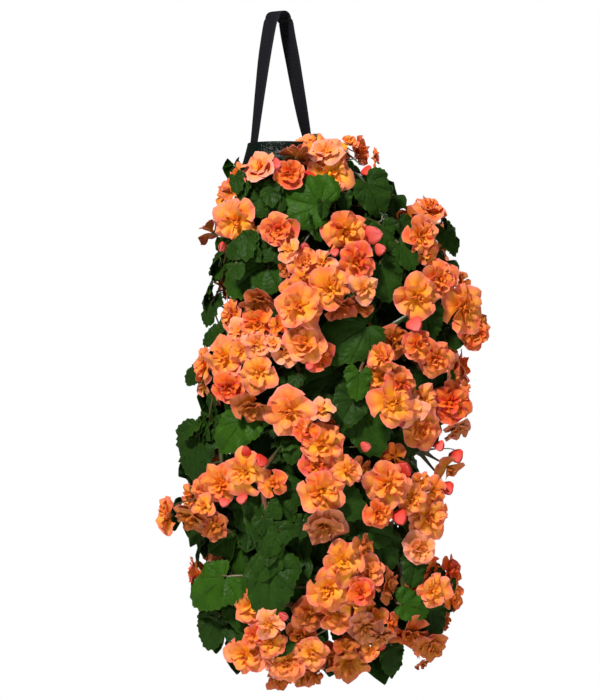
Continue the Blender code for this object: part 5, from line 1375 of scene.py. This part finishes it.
@made_once
def petal_material():
    """look holds the share along a petal, warmth, with painted shade in the folds, and paleness; flow the
    share across, its underside and a seed, with 1 added where the bloom is given painted shade."""
    n = Nodes("petal", 0.45)
    s, warm, pale = n.parts("look")
    across, under, seed = n.parts("flow")
    yellow = n.ramp(s, (0.0, (1.0, 0.45, 0.006)), (0.40, (1.0, 0.50, 0.020)), (0.66, (1.0, 0.37, 0.040)),
                    (0.86, (0.95, 0.25, 0.090)), (0.95, (0.88, 0.19, 0.14)), (1.0, (0.96, 0.42, 0.34)))
    # The red ramp darkens towards the root, partly the red blooms' own deep centre and partly painted shade
    # in the heart.
    red = n.ramp(s, (0.0, (0.62, 0.028, 0.001)), (0.45, (0.80, 0.055, 0.002)), (0.85, (0.84, 0.085, 0.022)),
                 (1.0, (0.92, 0.24, 0.17)))
    light = n.ramp(s, (0.0, (1.0, 0.50, 0.05)), (0.5, (1.0, 0.44, 0.16)), (0.9, (0.94, 0.34, 0.25)),
                   (1.0, (0.98, 0.50, 0.42)))
    closed = n.ramp(s, (0.0, (0.55, 0.030, 0.015)), (0.5, (0.76, 0.045, 0.030)), (1.0, (0.84, 0.16, 0.15)))
    base = n.mix(n.times(warm, 1.0, clamp=True), yellow, red)
    rimward = n.ramp(s, (0.0, 0.15), (0.55, 0.45), (0.95, 1.0))
    base = n.mix(n.times(pale, rimward, clamp=True), base, light)
    base = n.mix(n.times(under, 0.45), base, (0.80, 0.10, 0.040))
    streak = n.noise(1.0, 4.0, n.combine(n.times(s, 1.6), n.times(across, 12.0), n.times(seed, 40.0)))
    base = n.mix(n.ramp(streak, (0.45, 0.0), (0.75, 0.30)), base, (0.86, 0.10, 0.012))
    cloud = n.noise(70.0)
    base = n.mix(n.ramp(cloud, (0.45, 0.0), (0.70, 0.35)), base, (1.0, 0.38, 0.030))
    shut = n.math("GREATER_THAN", warm, BUD_HEAT)
    base = n.mix(n.times(shut, 0.90), base, closed)
    # Painted shade: petals of blooms marked shaded are darkened towards brown.
    painted_shade = n.math("GREATER_THAN", seed, 0.9)
    n.colour(n.mix(n.times(painted_shade, 0.55), base, (0.22, 0.050, 0.004)))
    n.soften(0.10, (1.0, 0.35, 0.12), 0.002)
    n.shine(0.14)
    n.rough(n.ramp(cloud, (0.2, 0.40), (0.8, 0.58)))
    n.bump(streak, 0.45, 0.0008)
    return n.material


@made_once
def leaf_material():
    """look holds the share from the stalk to the edge, the vein and the tone, which is partly painted
    shade; flow the place between the side veins, the underside and a seed."""
    n = Nodes("leaf", 0.42)
    s, vein, tone = n.parts("look")
    chevron, under, seed = n.parts("flow")
    cloud = n.noise(60.0, 5.0)
    dark = n.ramp(cloud, (0.25, (0.0010, 0.0070, 0.0016)), (0.75, (0.0030, 0.0165, 0.0026)))
    bright = n.ramp(cloud, (0.25, (0.011, 0.056, 0.0012)), (0.75, (0.036, 0.120, 0.0030)))
    # The tone mixes dark into bright green: partly the leaf's own colour and partly painted shade on leaves
    # deeper in.
    base = n.mix(n.plus(tone, n.times(n.math("SUBTRACT", seed, 0.5), 0.25), clamp=True), dark, bright)
    lines = n.math("PINGPONG", chevron, 0.5)
    side_veins = n.ramp(lines, (0.0, 1.0), (0.10, 0.0))
    base = n.mix(n.times(side_veins, 0.10), base, (0.04, 0.12, 0.008))
    base = n.mix(n.times(vein, 0.34), base, (0.060, 0.16, 0.012))
    base = n.mix(n.ramp(s, (0.965, 0.0), (1.0, 0.35)), base, (0.10, 0.21, 0.015))
    n.colour(n.mix(n.times(under, 0.40), base, (0.035, 0.08, 0.012)))
    n.soften(0.08, (0.3, 1.0, 0.15), 0.0015)
    n.shine(0.06)
    n.rough(n.ramp(cloud, (0.3, 0.34), (0.7, 0.50)))
    swell = n.times(n.ramp(lines, (0.0, 0.0), (0.5, 1.0)), 0.8)
    n.bump(n.plus(swell, n.times(n.noise(420.0), 0.25)), 0.35, 0.0010)
    return n.material


@made_once
def stalk_material():
    n = Nodes("stalk", 0.40)
    fleck = n.noise(900.0, 2.0)
    base = n.ramp(n.noise(45.0, 4.0), (0.30, (0.030, 0.070, 0.012)), (0.55, (0.085, 0.065, 0.020)),
                  (0.75, (0.22, 0.050, 0.030)))
    n.colour(n.mix(n.ramp(fleck, (0.60, 0.0), (0.72, 0.3)), base, (0.22, 0.16, 0.07)))
    n.soften(0.10, (1.0, 0.5, 0.2), 0.001)
    n.rough(n.ramp(fleck, (0.3, 0.34), (0.7, 0.50)))
    n.bump(fleck, 0.25, 0.0004)
    return n.material


@made_once
def webbing_material():
    """look holds the places along and across the strap, in metres."""
    n = Nodes("webbing", 0.72)
    run, across, _ = n.parts("look")
    warp = n.math("SINE", n.times(across, 2 * math.pi / 0.0016))
    weft = n.math("SINE", n.plus(n.times(run, 2 * math.pi / 0.0022), n.times(warp, 1.2)))
    weave = n.times(n.plus(n.times(warp, 0.45), weft), 0.35)
    fuzz = n.noise(1400.0)
    level = n.plus(n.times(weave, 0.5), n.times(fuzz, 0.6))
    base = n.ramp(level, (0.05, (0.004, 0.004, 0.006)), (0.75, (0.013, 0.014, 0.019)))
    edge = n.ramp(n.math("ABSOLUTE", across), (0.0108, 0.0), (0.0124, 0.5))
    n.colour(n.mix(edge, base, (0.022, 0.023, 0.030)))
    n.shine(0.15)
    n.rough(n.ramp(fuzz, (0.3, 0.62), (0.7, 0.82)))
    n.bump(level, 0.8, 0.0006)
    return n.material


@made_once
def film_material():
    """look holds the places round the film and its height, in metres."""
    n = Nodes("film", 0.30)
    girth, height, _ = n.parts("look")
    tape = 2 * math.pi / 0.0024
    weave = n.times(n.math("SINE", n.times(girth, tape)), n.math("SINE", n.times(height, tape)))
    crinkle = n.noise(110.0, 5.0, roughness=0.6)
    # Painted glints: tiny pale specks in the colour stand for highlights on the glossy film.
    painted_glint = n.noise(520.0, 4.0, n.combine(girth, n.times(height, 0.35), 0.0))
    base = n.ramp(weave, (0.0, (0.0010, 0.0060, 0.0035)), (1.0, (0.0030, 0.0130, 0.0080)))
    base = n.mix(n.ramp(painted_glint, (0.69, 0.0), (0.72, 0.85)), base, (0.20, 0.30, 0.28))
    n.colour(n.mix(n.ramp(crinkle, (0.60, 0.0), (0.74, 0.14)), base, (0.010, 0.030, 0.028)))
    n.shine(0.35)
    n.rough(n.ramp(crinkle, (0.3, 0.16), (0.7, 0.34)))
    n.bump(n.plus(n.times(weave, 0.25), n.times(crinkle, 2.6)), 1.0, 0.0016)
    return n.material


@made_once
def soil_material():
    """look holds how light a crumb is, as its third number."""
    n = Nodes("soil", 0.92)
    _, _, light = n.parts("look")
    cloud = n.noise(240.0, 6.0, roughness=0.7)
    base = n.ramp(cloud, (0.30, (0.010, 0.006, 0.003)), (0.55, (0.040, 0.023, 0.012)),
                  (0.75, (0.085, 0.052, 0.028)))
    n.colour(n.mix(light, base, (0.62, 0.60, 0.54)))
    n.bump(cloud, 1.0, 0.002)
    return n.material


# Stage
FLOOR_Z = -1.05
FLOOR_RADIUS = 1.7
FLOOR_SIDES = 128
WHITE = (1.0, 1.0, 1.0, 1.0)
ROOM_LIGHT = 0.07         # strength of the room's light, which the camera sees as plain white
PHOTO_MIDDLE = Vector((27.5 * MM, -40 * MM, -426.0 * MM))
PHOTO_HEIGHT = 0.875      # metres that the photograph's height takes in at the plant
CAMERA_AWAY = 4.5
SENSOR = 36.0


def make_stage():
    work = bmesh.new()
    bmesh.ops.create_circle(work, cap_ends=True, segments=FLOOR_SIDES, radius=FLOOR_RADIUS)
    floor = new_object("floor", mesh_from(work, "floor"))
    floor.location.z = FLOOR_Z
    n = Nodes("floor", 0.9)
    n.shader.inputs["Base Color"].default_value = (0.92, 0.92, 0.92, 1.0)
    floor.data.materials.append(n.material)


def area(name, place, size, power, colour=(1.0, 1.0, 1.0)):
    """A round lamp that shines on the plant's middle."""
    light = bpy.data.lights.new(name, "AREA")
    light.shape = "DISK"
    light.size = size
    light.energy = power
    light.color = colour
    holder = new_object(name, light)
    holder.location = place
    holder.rotation_euler = (PHOTO_MIDDLE - Vector(place)).to_track_quat("-Z", "Y").to_euler()


def make_lights():
    """A soft key from the upper left, weak fills in front and behind, and a white room for the camera."""
    area("key", (-1.2, -2.5, 2.0), 0.6, 168.0, (1.0, 0.98, 0.95))
    area("fill", (2.4, -2.8, 0.2), 1.4, 14.0)
    area("back", (1.4, 2.8, 1.3), 1.6, 70.0)
    world = bpy.data.worlds.new("studio")
    world.use_nodes = True
    tree = world.node_tree
    light = tree.nodes["Background"]
    light.inputs["Color"].default_value = WHITE
    light.inputs["Strength"].default_value = ROOM_LIGHT
    room = tree.nodes.new("ShaderNodeBackground")
    room.inputs["Color"].default_value = WHITE
    rays = tree.nodes.new("ShaderNodeLightPath")
    both = tree.nodes.new("ShaderNodeMixShader")
    for k, output in enumerate((rays.outputs["Is Camera Ray"], light.outputs[0], room.outputs[0])):
        tree.links.new(output, both.inputs[k])
    tree.links.new(both.outputs[0], tree.nodes["World Output"].inputs["Surface"])
    bpy.context.scene.world = world
    bpy.context.scene.view_settings.view_transform = "Standard"


def make_camera():
    data = bpy.data.cameras.new("camera")
    data.sensor_width = SENSOR
    data.lens = SENSOR * CAMERA_AWAY / PHOTO_HEIGHT
    camera = new_object("camera", data)
    camera.location = PHOTO_MIDDLE - Vector((0, CAMERA_AWAY, 0))
    camera.rotation_euler = (math.pi / 2, 0, 0)
    bpy.context.scene.camera = camera


def main():
    make_camera()
    make_strap()
    make_pouch()
    make_soil()
    make_plants(make_sprays())
    make_stage()
    make_lights()


main()
